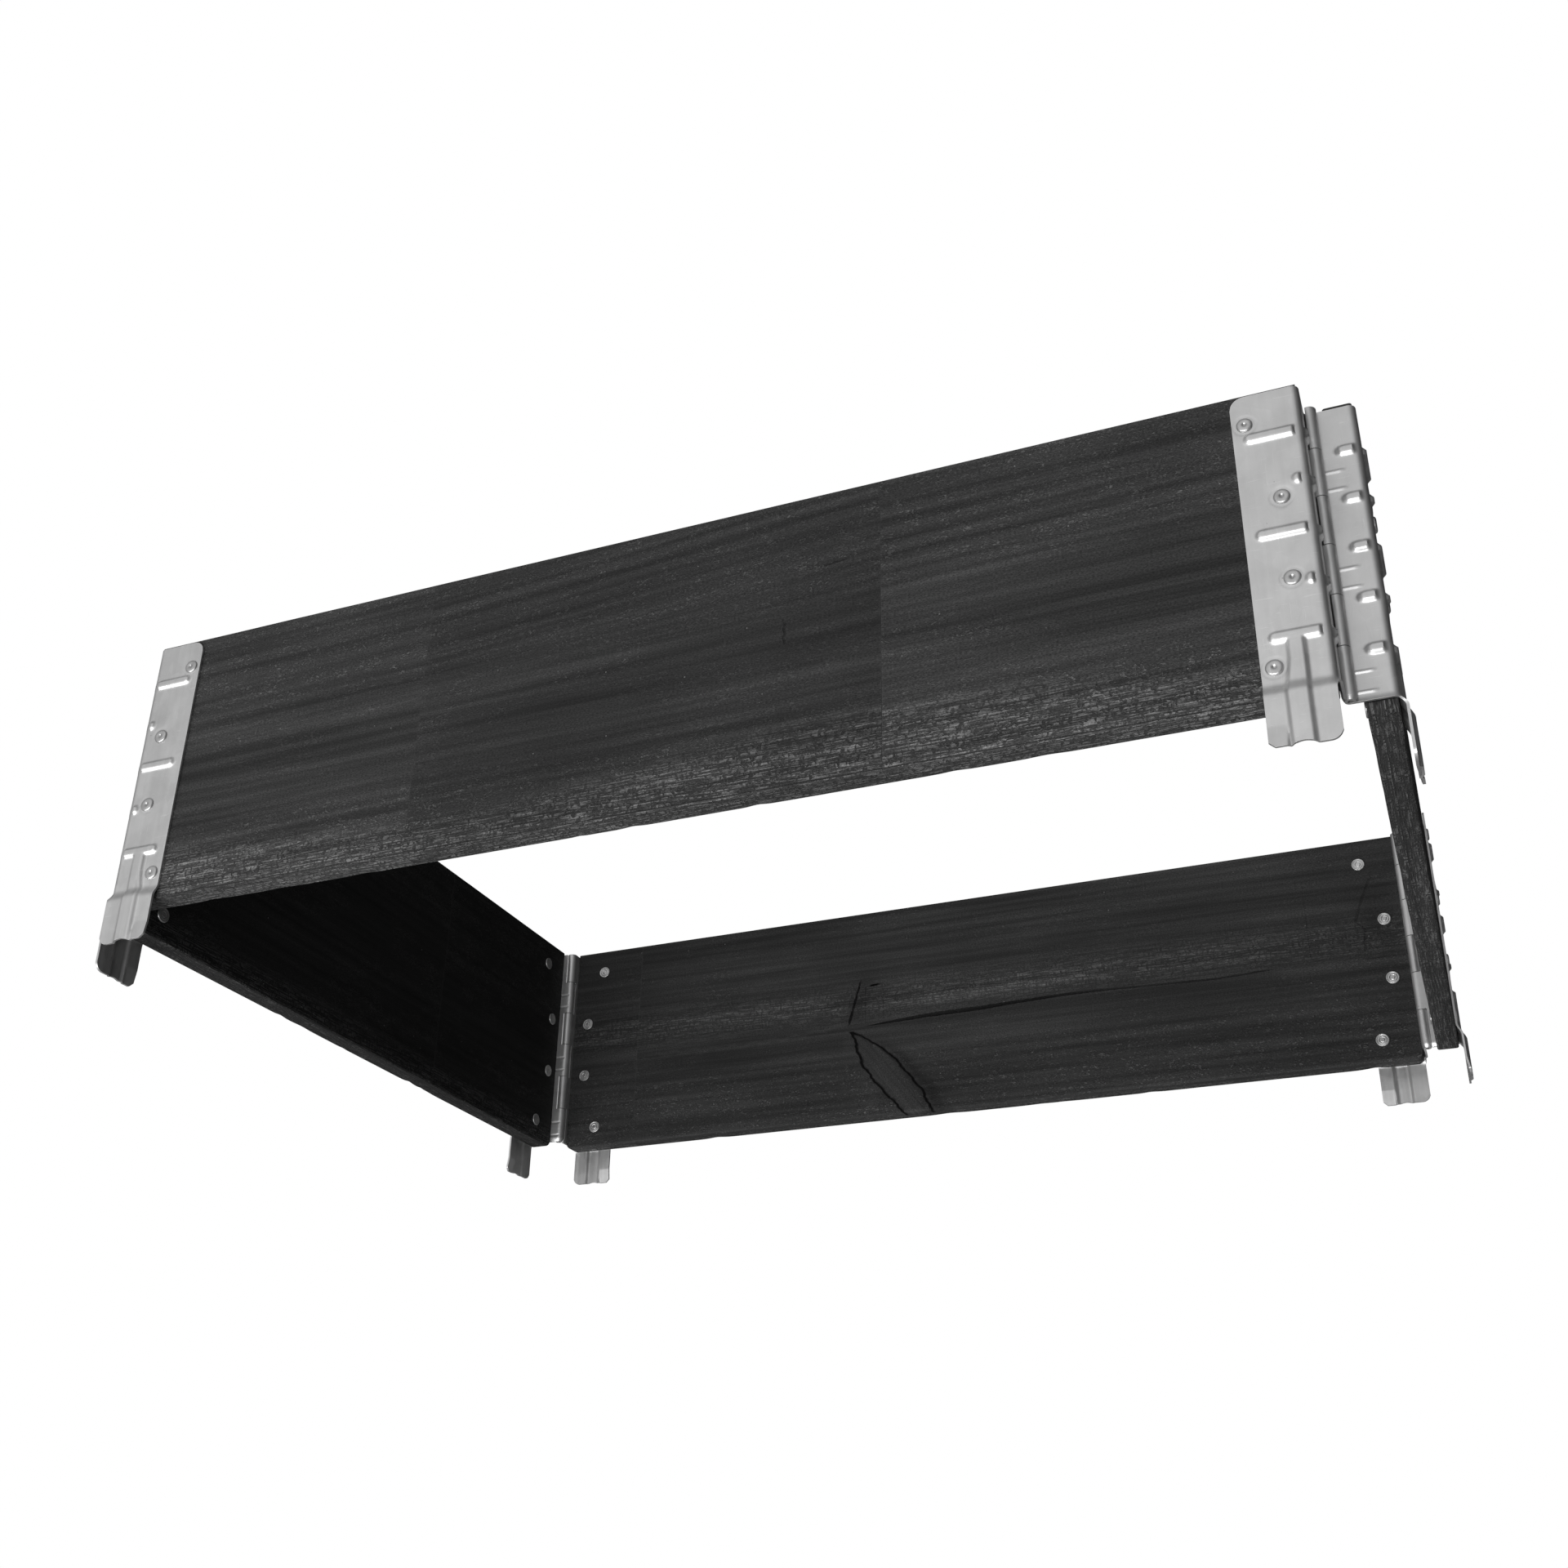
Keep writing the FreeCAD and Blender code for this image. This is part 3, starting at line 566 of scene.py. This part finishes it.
def hinge_leaf(board, end, left_hand, seed):
    """One pressed leaf, replacing the CAD leaf, on a grid of lines along the sheet and upward lines."""
    slit_angle = math.acos((BEND_TO_PIN - CURL_SLIT) / CURL_RADIUS)
    run_end = BEND_RUN + FLANGE_RUN + CURL_RADIUS * (2 * math.pi - slit_angle)
    free = across_sheet(PLATE_WIDTH)
    tab_edge = across_sheet(TAB_SIDE)
    flange_stop = BEND_RUN + FLANGE_RUN - FLANGE_END
    runs = graded(free, run_end, [(free, BEND_RUN + 3), (flange_stop, run_end)], 0.8, 1.5,
                  (0.0, tab_edge, BEND_RUN, flange_stop, BEND_RUN + FLANGE_RUN))
    zones = [(0, BASE + 12)]
    for count in range(RIB_COUNT):
        crest = RIB_TOP - RIB_PITCH * count
        zones.append((crest - 5, crest + 5))
    zones += [(upward - 6.5, upward + 6.5) for _, upward in rivet_spots()]
    zones += [(LEAF_TOP - PLATE_CORNER, LEAF_TOP)]
    joints = []
    for count in range(KNUCKLES):
        low = KNUCKLE_LOW + KNUCKLE_PITCH * count
        joints += [low, min(low + KNUCKLE_PITCH - KNUCKLE_GAP, LEAF_TOP)]
    exact = joints[:-1]
    for spot in stiffener_levels() if left_hand else []:
        exact = exact + [spot - 1.0, spot - 0.4, spot + 0.4, spot + 1.0]
    levels = graded(0.0, LEAF_TOP, zones, 0.85, 1.9, exact)

    run_mid = ((runs[1:] + runs[:-1]) / 2)[:, None]
    level_mid = ((levels[1:] + levels[:-1]) / 2)[None, :]
    kept = (run_mid < tab_edge) | ((run_mid < flange_stop) & (level_mid > KNUCKLE_LOW))
    for count in range(0 if left_hand else 1, KNUCKLES, 2):
        low = KNUCKLE_LOW + KNUCKLE_PITCH * count
        high = low + KNUCKLE_PITCH - KNUCKLE_GAP
        kept |= (run_mid > flange_stop) & (level_mid > low) & (level_mid < high)

    run, level = np.meshgrid(runs, levels, indexing="ij")
    # upper free corner: the top line falls away on a circle
    near_free = np.clip(PLATE_CORNER - (run - free), 0, PLATE_CORNER)
    fall = PLATE_CORNER - np.sqrt(PLATE_CORNER ** 2 - near_free ** 2)
    top_zone = LEAF_TOP - 2.2 * PLATE_CORNER
    lowered = top_zone + (level - top_zone) * (LEAF_TOP - fall - top_zone) / (LEAF_TOP - top_zone)
    level = np.where(level > top_zone, lowered, level)
    # tab's tip: rounded hinge-side corner, bowed up under the rib, clipped free corner
    side = np.clip(TAB_CORNER - (tab_edge - run), 0, TAB_CORNER)
    rise = TAB_CORNER - np.sqrt(TAB_CORNER ** 2 - side ** 2)
    rise = np.minimum(rise, TAB_CORNER_HELD)
    bow = TAB_BOW * smooth(1 - np.abs(run - across_sheet(19.6)) / 7.5)
    clip = np.clip(TAB_CLIP - (run - free), 0, TAB_CLIP)
    lift = rise + bow + clip
    level = np.where(level < TIP_ZONE, lift + level * (TIP_ZONE - lift) / TIP_ZONE, level)

    x, y, away_x, away_y = leaf_path(run)
    flat = smooth((KNUCKLE_LOW + 1.5 - level) / 6.0)
    bent = (run > 0) & (run <= tab_edge + 1e-6)
    straight_x = -BEND_CENTRE_X + run
    straight_y = BEND_CENTRE_Y - MID_RADIUS
    x = np.where(bent, x + (straight_x - x) * flat, x)
    y = np.where(bent, y + (straight_y - y) * flat, y)
    away_x = np.where(bent, away_x * (1 - flat), away_x)
    away_y = np.where(bent, -np.sqrt(1 - away_x ** 2), away_y)

    height = leaf_relief(run, level, left_hand, seed)
    step = TAB_OUT * smooth((BASE + 9.0 - level) / 8.5)
    flare = TAB_FLARE * np.clip((TIP_ZONE - level) / TIP_ZONE, 0, 1)
    flare = flare * smooth((across_sheet(25.5) - run) / 2.0)
    height = height + step + flare
    outer = np.stack([x + away_x * (SHEET / 2 + height), y + away_y * (SHEET / 2 + height), level], -1)
    inner = np.stack([x + away_x * (height - SHEET / 2), y + away_y * (height - SHEET / 2), level], -1)
    points = np.concatenate([outer.reshape(-1, 3), inner.reshape(-1, 3)])
    uv = np.stack([run + seed * 61.0, level + seed * 37.0], -1).reshape(-1, 2) * MM
    faces = sheet_faces(kept)
    points, faces, uv = drop_unused(points, faces, np.concatenate([uv, uv]))
    if left_hand:
        points[:, 0] *= -1
        faces = faces[:, ::-1]
    points = turned(points, QUARTER[board])
    points[:, :2] += pin_of(board, end)
    piece = new_piece("%s_pressed_leaf_%s" % (board, end), points, faces, board, ZINC,
                      uv, sharp=50.0)
    bevel = piece.modifiers.new("broken_edges", "BEVEL")
    bevel.width = EDGE_BREAK * MM
    bevel.segments = 1
    bevel.limit_method = "ANGLE"
    bevel.angle_limit = math.radians(60)
    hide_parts("%s_leaf_%s" % (board, end))
    return piece


# ---------------------------------------------------------------- rivets
def turned_faces(rings, steps):
    """Quads between the rings of a turned piece, closed round its axis."""
    number = np.arange(rings * steps).reshape(rings, steps)
    after = np.roll(number, -1, axis=1)
    return np.stack([number[:-1], after[:-1], after[1:], number[1:]], -1).reshape(-1, 4)


def rivet(seed):
    """One rivet along Y from the set end outside to the flat head inside; Y = 0 is the board's outer face.

    The radius and depth follow a profile: a dimpled rolled-over end, the shank and a ringed flat head.
    """
    rng = np.random.default_rng(seed)
    wobble = rng.uniform(0.94, 1.06)
    profile = np.array([
        (0.02, -2.1), (0.5, -2.15), (0.95, -2.5), (1.35, -2.82), (2.4, -2.9), (3.2, -2.82), (3.8, -2.62),
        (4.25, -2.3), (4.5, -1.9), (4.55, -1.6), (4.4, -1.42), (2.6, -1.4), (2.5, -1.0), (2.5, 15.6),
        (2.6, 16.0), (4.9, 16.02), (5.17, 16.15), (5.2, 16.7), (5.05, 17.05), (4.75, 17.2), (4.2, 17.2),
        (3.95, 16.98), (3.7, 17.0), (3.45, 17.16), (2.3, 17.14), (2.0, 16.95), (1.7, 17.14), (0.8, 17.12),
        (0.02, 17.08)])
    steps = 40
    angle = np.arange(steps) * 2 * math.pi / steps
    radius = profile[:, :1] * (1 + (wobble - 1) * (profile[:, 1:] < -1))
    depth = profile[:, 1:] + 0 * angle
    x = radius * np.cos(angle)
    z = radius * np.sin(angle)
    return np.stack([x, depth, z], -1).reshape(-1, 3), turned_faces(len(profile), steps)[:, ::-1]


def rivet_row(board, end, left_hand, seed):
    """The four rivets of one leaf as one piece of four closed shells."""
    points, faces = [], []
    for count, (inset, upward) in enumerate(rivet_spots()):
        one, quads = rivet(seed * 10 + count)
        across = -(BEND_TO_PIN + inset) * (-1 if left_hand else 1)
        faces.append(quads + len(one) * count)
        points.append(one + np.array([across, -PIN_DEPTH, upward]))
    placed_points = turned(np.concatenate(points), QUARTER[board])
    placed_points[:, :2] += pin_of(board, end)
    piece = new_piece("%s_set_rivets_%s" % (board, end), placed_points, np.concatenate(faces), board,
                      RIVET, sharp=50.0)
    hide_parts("%s_rivets_%s" % (board, end))
    return piece


# ---------------------------------------------------------------- boards
def board_section(extra_levels):
    """Rounded rectangle round the board's cross section: depth and height of its points."""
    ease = 1.5
    up = np.linspace(ease, BOARD_HEIGHT - ease, 84)
    up = np.unique(np.concatenate([up, extra_levels]))
    arc = np.linspace(0, math.pi / 2, 5)[1:-1]
    flat = np.linspace(ease, BOARD_THICK - ease, 9)
    parts = [
        (np.zeros_like(up), up),
        (ease - ease * np.cos(arc), BOARD_HEIGHT - ease + ease * np.sin(arc)),
        (flat, np.full_like(flat, BOARD_HEIGHT)),
        (BOARD_THICK - ease + ease * np.sin(arc), BOARD_HEIGHT - ease + ease * np.cos(arc)),
        (np.full_like(up, BOARD_THICK), up[::-1]),
        (BOARD_THICK - ease + ease * np.cos(arc), ease - ease * np.sin(arc)),
        (flat[::-1], np.zeros_like(flat)),
        (ease - ease * np.sin(arc), ease - ease * np.cos(arc)),
    ]
    depth = np.concatenate([part[0] for part in parts])
    height = np.concatenate([part[1] for part in parts])
    return depth, height


FAR = 9.0                                          # a distance that shows no crack
BOARD_CLIP = 5.0                                   # rounding of the lower end corners


def plain_figure(x, up, inside):
    """Figure of a board without knots: slow belts of darker late wood along it."""
    belt = hump(up - 96 - 9 * np.sin(x / 170), 20)
    return {
        "tone": 1 - 0.18 * belt,
        "fibrous": smooth((62 - up) / 58) * (1 - inside) + 0.35 * smooth((up - 118) / 40),
        "ridged": smooth((26 - up) / 22),
        "split": FAR + 0 * x,
        "cleft": FAR + 0 * x,
        "split_depth": 0 * x,
        "cleft_depth": 0 * x,
        "knot": -30.0 + 0 * x,
        "slant": 0 * x,
    }


def front_figure(x, up, inside):
    """Front board: an arched dark figure in the middle stave, torn ridges along the lower edge."""
    figure = plain_figure(x, up, inside)
    middle = (x > -159.5) & (x < 139)
    arch = up - 84 - 0.05 * (x + 60) + 4 * np.sin(x / 60)
    dark = hump(arch, 11) * smooth((x + 175) / 90)
    tip = hump(up - 97 - 0.06 * (x + 40), 4.0) * smooth((x + 60) / 30)
    dark = np.where(middle, 0.42 * dark + 0.2 * tip, 0.13 * hump(up - 86, 14))
    pale = 0.2 * hump(up - 112 - 0.05 * x, 9) * middle
    # The added lightness towards the lower edge is painted light from below on the fibres.
    figure["tone"] = 1 - dark + pale + 0.16 * smooth((40 - up) / 30)
    figure["fibrous"] = (smooth((66 - up) / 50) + 0.5 * smooth((up - 104) / 30)) * (1 - inside)
    figure["ridged"] = smooth((38 - up + 10 * np.sin(x / 90)) / 26)
    figure["slant"] = np.where(middle, 0.055 * smooth((up - 90) / 60), 0.012)
    mark = up - 140.0 - 0.1 * (x - 112)
    figure["cleft"] = mark / 0.8
    figure["cleft_depth"] = 0.4 * smooth((9 - np.abs(x - 112)) / 4) * (1 - inside)
    figure["split"] = (x - 81.0 + 0.6 * np.sin(up)) / 0.8
    figure["split_depth"] = 0.3 * smooth((9.5 - np.abs(up - 100)) / 4) * (1 - inside)
    return figure


def back_figure(x, up, inside):
    """Back board, seen on its inner face: a spike knot, a long shake and a cleft above it.

    across runs from left to right for one who looks at the inner face, against x. Every crack is kept as
    its signed distance over its half width, which is 1 at its lips, and as a depth that fades at its ends.
    """
    figure = plain_figure(x, up, 0 * inside)
    across = -x
    left_lip = np.interp(up, [-5, 28, 46, 60, 74, 78], [-43, -72, -85, -90, -93.5, -95.5])
    right_lip = np.interp(up, [-5, 0, 19, 36, 53, 70, 78], [-20, -23.5, -31.6, -45, -58.4, -80, -95.0])
    wedge = np.minimum(across - left_lip, right_lip - across)
    wedge = wedge + 0.8 * np.sin(up / 2.3) * hump(wedge, 3) + 0.5 * np.sin(up * 1.3) * hump(wedge, 3)
    wedge = np.where(up < 79, wedge, -30.0)
    shake_up = np.interp(across, [-83, -24, 25, 51, 100, 143, 222, 267],
                         [82.5, 85.6, 86.2, 87.4, 88.6, 88.0, 85.6, 87.6])
    shake_wide = np.interp(across, [-84, -60, -20, 20, 60, 150, 267, 270],
                           [0.12, 1.1, 1.9, 2.0, 1.3, 0.8, 0.7, 0.1])
    shake = (up - shake_up) / shake_wide
    shake_depth = 0.75 * smooth((across + 86) / 12) * smooth((271 - across) / 14)
    shake_depth = shake_depth * (1 - 0.35 * smooth((across - 60) / 90))
    cleft_wide = np.interp(up, [85, 90, 108, 124, 127], [0.8, 1.4, 1.1, 0.8, 0.6])
    cleft = (across - (-98 + (up - 86) * 0.28)) / cleft_wide
    cleft_depth = 0.75 * smooth((up - 84) / 4) * smooth((128 - up) / 6)
    dash = np.abs(across + 74) < 8
    cleft = np.where(dash, (up - 119.8 - 0.1 * (across + 75)) / 0.9, cleft)
    cleft_depth = np.where(dash, smooth((5.5 - np.abs(across + 74)) / 2), cleft_depth)
    far_end = across > 300
    far_knot_at = np.interp(up, [88, 112, 119, 140, 163], [341, 344, 337, 345, 356])
    cleft = np.where(far_end, (across - far_knot_at) / 1.2, cleft)
    cleft_depth = np.where(far_end, 0.25 * smooth((up - 86) / 8) * smooth((165 - up) / 14), cleft_depth)
    low_end = far_end & (up < 92)
    cleft = np.where(low_end, (up - 87.0) / 1.0, cleft)
    cleft_depth = np.where(low_end, 0.2 * smooth((across - 338) / 6), cleft_depth)
    # Painted highlight: a light line along a ridge left of the cleft.
    ridge_highlight = hump(up - np.interp(across, [-305, -205, -160, -120, -100], [81, 78, 80.3, 83.2, 86.6])
                 - 0.8 * np.sin(across / 3.1), 1.6)
    ridge_highlight = ridge_highlight * smooth((across + 310) / 40) * smooth((-97 - across) / 8)
    # Painted shade right of the knot's wedge and round the cleft.
    dark = 0.5 * hump(across - right_lip - 7, 7) * smooth((78 - up) / 30) * (up < 80)
    shade_beside_cleft = hump(across + 93 - (up - 86) * 0.28, 10)
    dark = dark + 0.4 * shade_beside_cleft * smooth((up - 84) / 12) * smooth((150 - up) / 40)
    # Painted shade under the ridge.
    dark = dark + 0.3 * hump(up - 69, 9) * smooth((across + 320) / 60) * smooth((-97 - across) / 10)
    dark = dark + 0.3 * hump(up - shake_up + 6, 5) * smooth((across + 70) / 40) * smooth((290 - across) / 40)
    dark = dark + 0.35 * hump(np.hypot(across - 352, (up - 118) * 0.5), 14)
    dark = dark + 0.25 * smooth((up - 140) / 40) * smooth((-60 - across) / 90)
    fuzz = hump(np.hypot(across + 80, up - 20), 15) * (wedge < 0) + 0.6 * hump(np.hypot(across + 55, up), 8)
    bright = 0.22 * hump(up - 108, 16) * smooth((across + 300) / 60) * smooth((-110 - across) / 30)
    bright = bright + 0.3 * hump(up - 103, 10) * smooth((across + 60) / 60) * smooth((300 - across) / 90)
    tone = 1 - dark + bright + 0.5 * ridge_highlight + 0.5 * fuzz + 0.25 * smooth((3.4 - up) / 2.0)
    figure["tone"] = np.where(inside > 0.5, tone, figure["tone"])
    figure["fibrous"] = np.where(inside > 0.5, 0.75 * smooth((66 - up) / 26) * (wedge < -3) + fuzz,
                                 figure["fibrous"])
    figure["ridged"] = np.where(inside > 0.5, 0.5 * hump(up - 106, 14), figure["ridged"])
    around = 9 * hump(np.hypot((across + 95) / 2.2, up - 82), 26) * np.sign(up - 80)
    figure["slant"] = np.where(inside > 0.5, 0.0012 * around, 0)
    figure["split"] = shake
    figure["cleft"] = cleft
    figure["split_depth"] = shake_depth * inside
    figure["cleft_depth"] = cleft_depth * inside
    figure["knot"] = np.where(inside > 0.5, np.clip(wedge, -30, 30), figure["knot"])
    return figure


def board_piece(board, joints, stave_tones_and_shade, seed, figure_of=plain_figure, dents=()):
    """One board as its section carried along it, with clipped lower corners, hollows, dents and chips."""
    low, high = box_mm(board + "_board")
    length = max(high[0] - low[0], high[1] - low[1])
    extra = np.arange(78.0, 92.0, 0.7) if figure_of is back_figure else np.array([])
    depth, height = board_section(extra)
    ends = [(-length / 2, -length / 2 + 6), (length / 2 - 6, length / 2)]
    ends += [(spot - 9, spot + 9) for spot, _ in dents]
    exact = [spot + side for spot in joints for side in (-0.5, -0.15, 0.15, 0.5)]
    stations = graded(-length / 2, length / 2, ends, 0.6, 2.4, exact)
    x = stations[:, None] + 0 * depth
    from_end = length / 2 - np.abs(x)
    clip = BOARD_CLIP - np.sqrt(BOARD_CLIP ** 2 - np.clip(BOARD_CLIP - from_end, 0, BOARD_CLIP) ** 2)
    up = height[None, :] + 0 * x
    up = np.where(up < TIP_ZONE, clip + up * (TIP_ZONE - clip) / TIP_ZONE, up)
    inward = depth[None, :] + 0 * x
    inside = (inward > BOARD_THICK / 2).astype(float)
    figure = figure_of(x, up, inside)

    hollow = 0.12 + 0.12 * ripple(x, up, seed, 90.0) + 0.05 * ripple(x, up, seed + 1, 23.0)
    groove = 0.9 * smooth(1.15 - np.abs(figure["split"])) * figure["split_depth"]
    groove = groove + 0.6 * smooth(1.15 - np.abs(figure["cleft"])) * figure["cleft_depth"]
    groove = groove + 0.5 * hump(figure["knot"], 1.6) - 0.25 * smooth(figure["knot"] / 4)
    on_face = smooth(np.minimum(up, BOARD_HEIGHT - up) / 2)
    rng = np.random.default_rng(seed + 2)
    nick = np.zeros_like(x)
    for spot in rng.uniform(-length / 2, length / 2, 9):
        nick += rng.uniform(0.3, 0.9) * hump(x - spot, rng.uniform(3, 11)) * hump(up, 3.0)
    for spot, size in dents:
        ragged = 1 + 0.5 * np.sin(x * 1.9) * np.sin(x * 0.7 + 1)
        nick += size * hump(x - spot, 5.5) * ragged * hump(up, 3.5) * (1 - inside)
    middle = BOARD_THICK / 2
    squeeze = 1 - (hollow + 0.5 * nick + groove * on_face) / middle
    inward = middle + (inward - middle) * squeeze
    up = up + nick * 0.5 * hump(up, 4.0)
    points = np.stack([x, inward, up + BASE], -1)
    rings, count = x.shape
    number = np.arange(rings * count).reshape(rings, count)
    after = np.roll(number, -1, axis=1)
    sides = np.stack([number[:-1], after[:-1], after[1:], number[1:]], -1).reshape(-1, 4)
    faces = sides[:, ::-1].tolist() + [number[0].tolist()] + [number[-1][::-1].tolist()]

    girth = np.concatenate([[0], np.cumsum(np.hypot(np.diff(depth), np.diff(height)))])[None, :]
    stave_number = np.searchsorted(joints, x)
    within = smooth(figure["knot"] / 1.0)
    axis_run = 0.61 * -x - 0.79 * up
    axis_side = 0.79 * -x + 0.61 * up
    u = x * (1 - within) + axis_run * within + stave_number * 977.0 + seed * 131.0
    v = (girth - figure["slant"] * x) * (1 - within) + axis_side * within + stave_number * 53.0 + seed * 17.0
    uv = np.stack([u, v], -1).reshape(-1, 2) * MM
    worn = hump(np.minimum(up, BOARD_HEIGHT - up), 1.6)
    lips = np.zeros_like(x)
    for spot in joints:
        lips = np.maximum(lips, np.clip(1 - np.abs(x - spot) / 0.6, 0, 1))
    values = {
        # Stave tone times figure tone; on the left board it is mostly painted shade.
        "stave": np.asarray(stave_tones_and_shade)[stave_number] * figure["tone"],
        "worn": worn, "glue_line": lips,
        "fibrous": np.clip(figure["fibrous"], 0, 1), "ridged": np.clip(figure["ridged"], 0, 1),
        "split": np.clip(figure["split"], -FAR, FAR), "split_depth": figure["split_depth"],
        "cleft": np.clip(figure["cleft"], -FAR, FAR), "cleft_depth": figure["cleft_depth"],
        "knot": figure["knot"],
    }
    spun = turned(points.reshape(-1, 3), QUARTER[board])
    spun[:, :2] += FACE_PLACE[board]
    piece = new_piece("%s_stained_board" % board, spun, faces, board, WOOD, uv,
                      {key: field.ravel() for key, field in values.items()})
    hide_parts(board + "_board")
    return piece


# ---------------------------------------------------------------- the object
for seed, (board, end) in enumerate(RIGHT_HAND):
    hinge_leaf(board, end, False, seed)
    rivet_row(board, end, False, seed)
for seed, (board, end) in enumerate(LEFT_HAND, start=4):
    hinge_leaf(board, end, True, seed)
    rivet_row(board, end, True, seed)
board_piece("front", [-159.5, 139.0], [1.18, 0.92, 1.15], 1, front_figure, [(-117.0, 1.6), (88.0, 1.4)])
board_piece("right", [60.0], [1.0, 1.15], 2)
board_piece("back", [306.0], [0.85, 0.78], 3, back_figure)
# The left board's low tones are painted shade: its inner face is darkened to about a third of the others.
board_piece("left", [-80.0], [0.35, 0.38], 4)
for name in ("front_left", "front_right", "back_left", "back_right"):
    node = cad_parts["hinge_pin_" + name]
    node.data.materials.clear()
    node.data.materials.append(PIN)


# ---------------------------------------------------------------- stage, light and camera
FRONT_GLOW = 0.8
BACK_GLOW = 0.05
KEY_POWER = 70.0
HIGH_POWER = 1.5
FLOOR_HALF = 12.0
FLOOR_LEVEL = -2.4
CAMERA_PLACE = (0.4049, -1.06009, -0.40527)
CAMERA_BACK = (0.32981, -0.83729, -0.43610)        # from what it looks at towards the camera
CAMERA_UP = (0.15186, -0.40888, 0.89987)
CAMERA_LENS = 39.615
CAMERA_SHIFT = (-0.0246, 0.0385)


def stage_floor():
    """A pale floor well below the collar, as a flat square."""
    half = FLOOR_HALF
    level = FLOOR_LEVEL
    mesh = bpy.data.meshes.new("floor")
    corners = [(-half, -half, level), (half, -half, level), (half, half, level), (-half, half, level)]
    mesh.from_pydata(corners, [], [(0, 1, 2, 3)])
    floor = bpy.data.objects.new("floor", mesh)
    bpy.context.scene.collection.objects.link(floor)
    material, tree, shader = new_material("pale_floor")
    shader.inputs["Base Color"].default_value = (0.8, 0.8, 0.8, 1)
    shader.inputs["Roughness"].default_value = 0.9
    mesh.materials.append(material)


def studio_world():
    """White to the eye; as light it is bright before the collar, dim behind it and dimmer to its right."""
    world = bpy.data.worlds.new("studio")
    bpy.context.scene.world = world
    world.use_nodes = True
    tree = world.node_tree
    tree.nodes.clear()
    way = add(tree, "ShaderNodeSeparateXYZ", {0: add(tree, "ShaderNodeTexCoord").outputs["Generated"]})
    ahead = ramp(tree, way.outputs[1], -0.9, 0.15, FRONT_GLOW, BACK_GLOW)
    aside = ramp(tree, way.outputs[0], 0.1, 0.7, 1.0, 0.25)
    glow = maths(tree, "MULTIPLY", ahead, aside)
    lit = add(tree, "ShaderNodeBackground", {"Strength": glow})
    seen = add(tree, "ShaderNodeBackground", {"Strength": 1.0})
    lit.inputs["Color"].default_value = (1, 1, 1, 1)
    seen.inputs["Color"].default_value = (1, 1, 1, 1)
    ray = add(tree, "ShaderNodeLightPath").outputs["Is Camera Ray"]
    mix = add(tree, "ShaderNodeMixShader", {0: ray, 1: lit.outputs[0], 2: seen.outputs[0]})
    add(tree, "ShaderNodeOutputWorld", {0: mix.outputs[0]})


def soft_light(name, place, aim, width, height, power):
    """An area light at a place, turned to face the aim and hidden from the camera."""
    light = bpy.data.lights.new(name, "AREA")
    light.shape = "RECTANGLE"
    light.size = width
    light.size_y = height
    light.energy = power
    lamp = bpy.data.objects.new(name, light)
    bpy.context.scene.collection.objects.link(lamp)
    lamp.location = place
    toward = Vector(aim) - Vector(place)
    lamp.rotation_mode = "QUATERNION"
    lamp.rotation_quaternion = toward.to_track_quat("-Z", "Y")
    lamp.visible_camera = False
    return lamp


def camera():
    """Below the collar in front of its right corner, looking up at it."""
    data = bpy.data.cameras.new("camera")
    cam = bpy.data.objects.new("camera", data)
    bpy.context.scene.collection.objects.link(cam)
    back = Vector(CAMERA_BACK).normalized()
    up = Vector(CAMERA_UP)
    right = up.cross(back).normalized()
    up = back.cross(right)
    turn = Matrix((right, up, back)).transposed()
    cam.matrix_world = Matrix.Translation(CAMERA_PLACE) @ turn.to_4x4()
    data.sensor_width = 36.0
    data.lens = CAMERA_LENS
    data.shift_x = CAMERA_SHIFT[0]
    data.shift_y = CAMERA_SHIFT[1]
    data.clip_start = 0.01
    bpy.context.scene.camera = cam


stage_floor()
studio_world()
soft_light("key_below", (-0.6, -2.2, -1.4), (0.0, -0.3, 0.1), 3.2, 1.0, KEY_POWER)
soft_light("high_front", (0.2, -2.4, 1.5), (0.1, -0.3, 0.1), 2.2, 2.2, HIGH_POWER)
camera()
scene = bpy.context.scene
scene.view_settings.view_transform = "Standard"
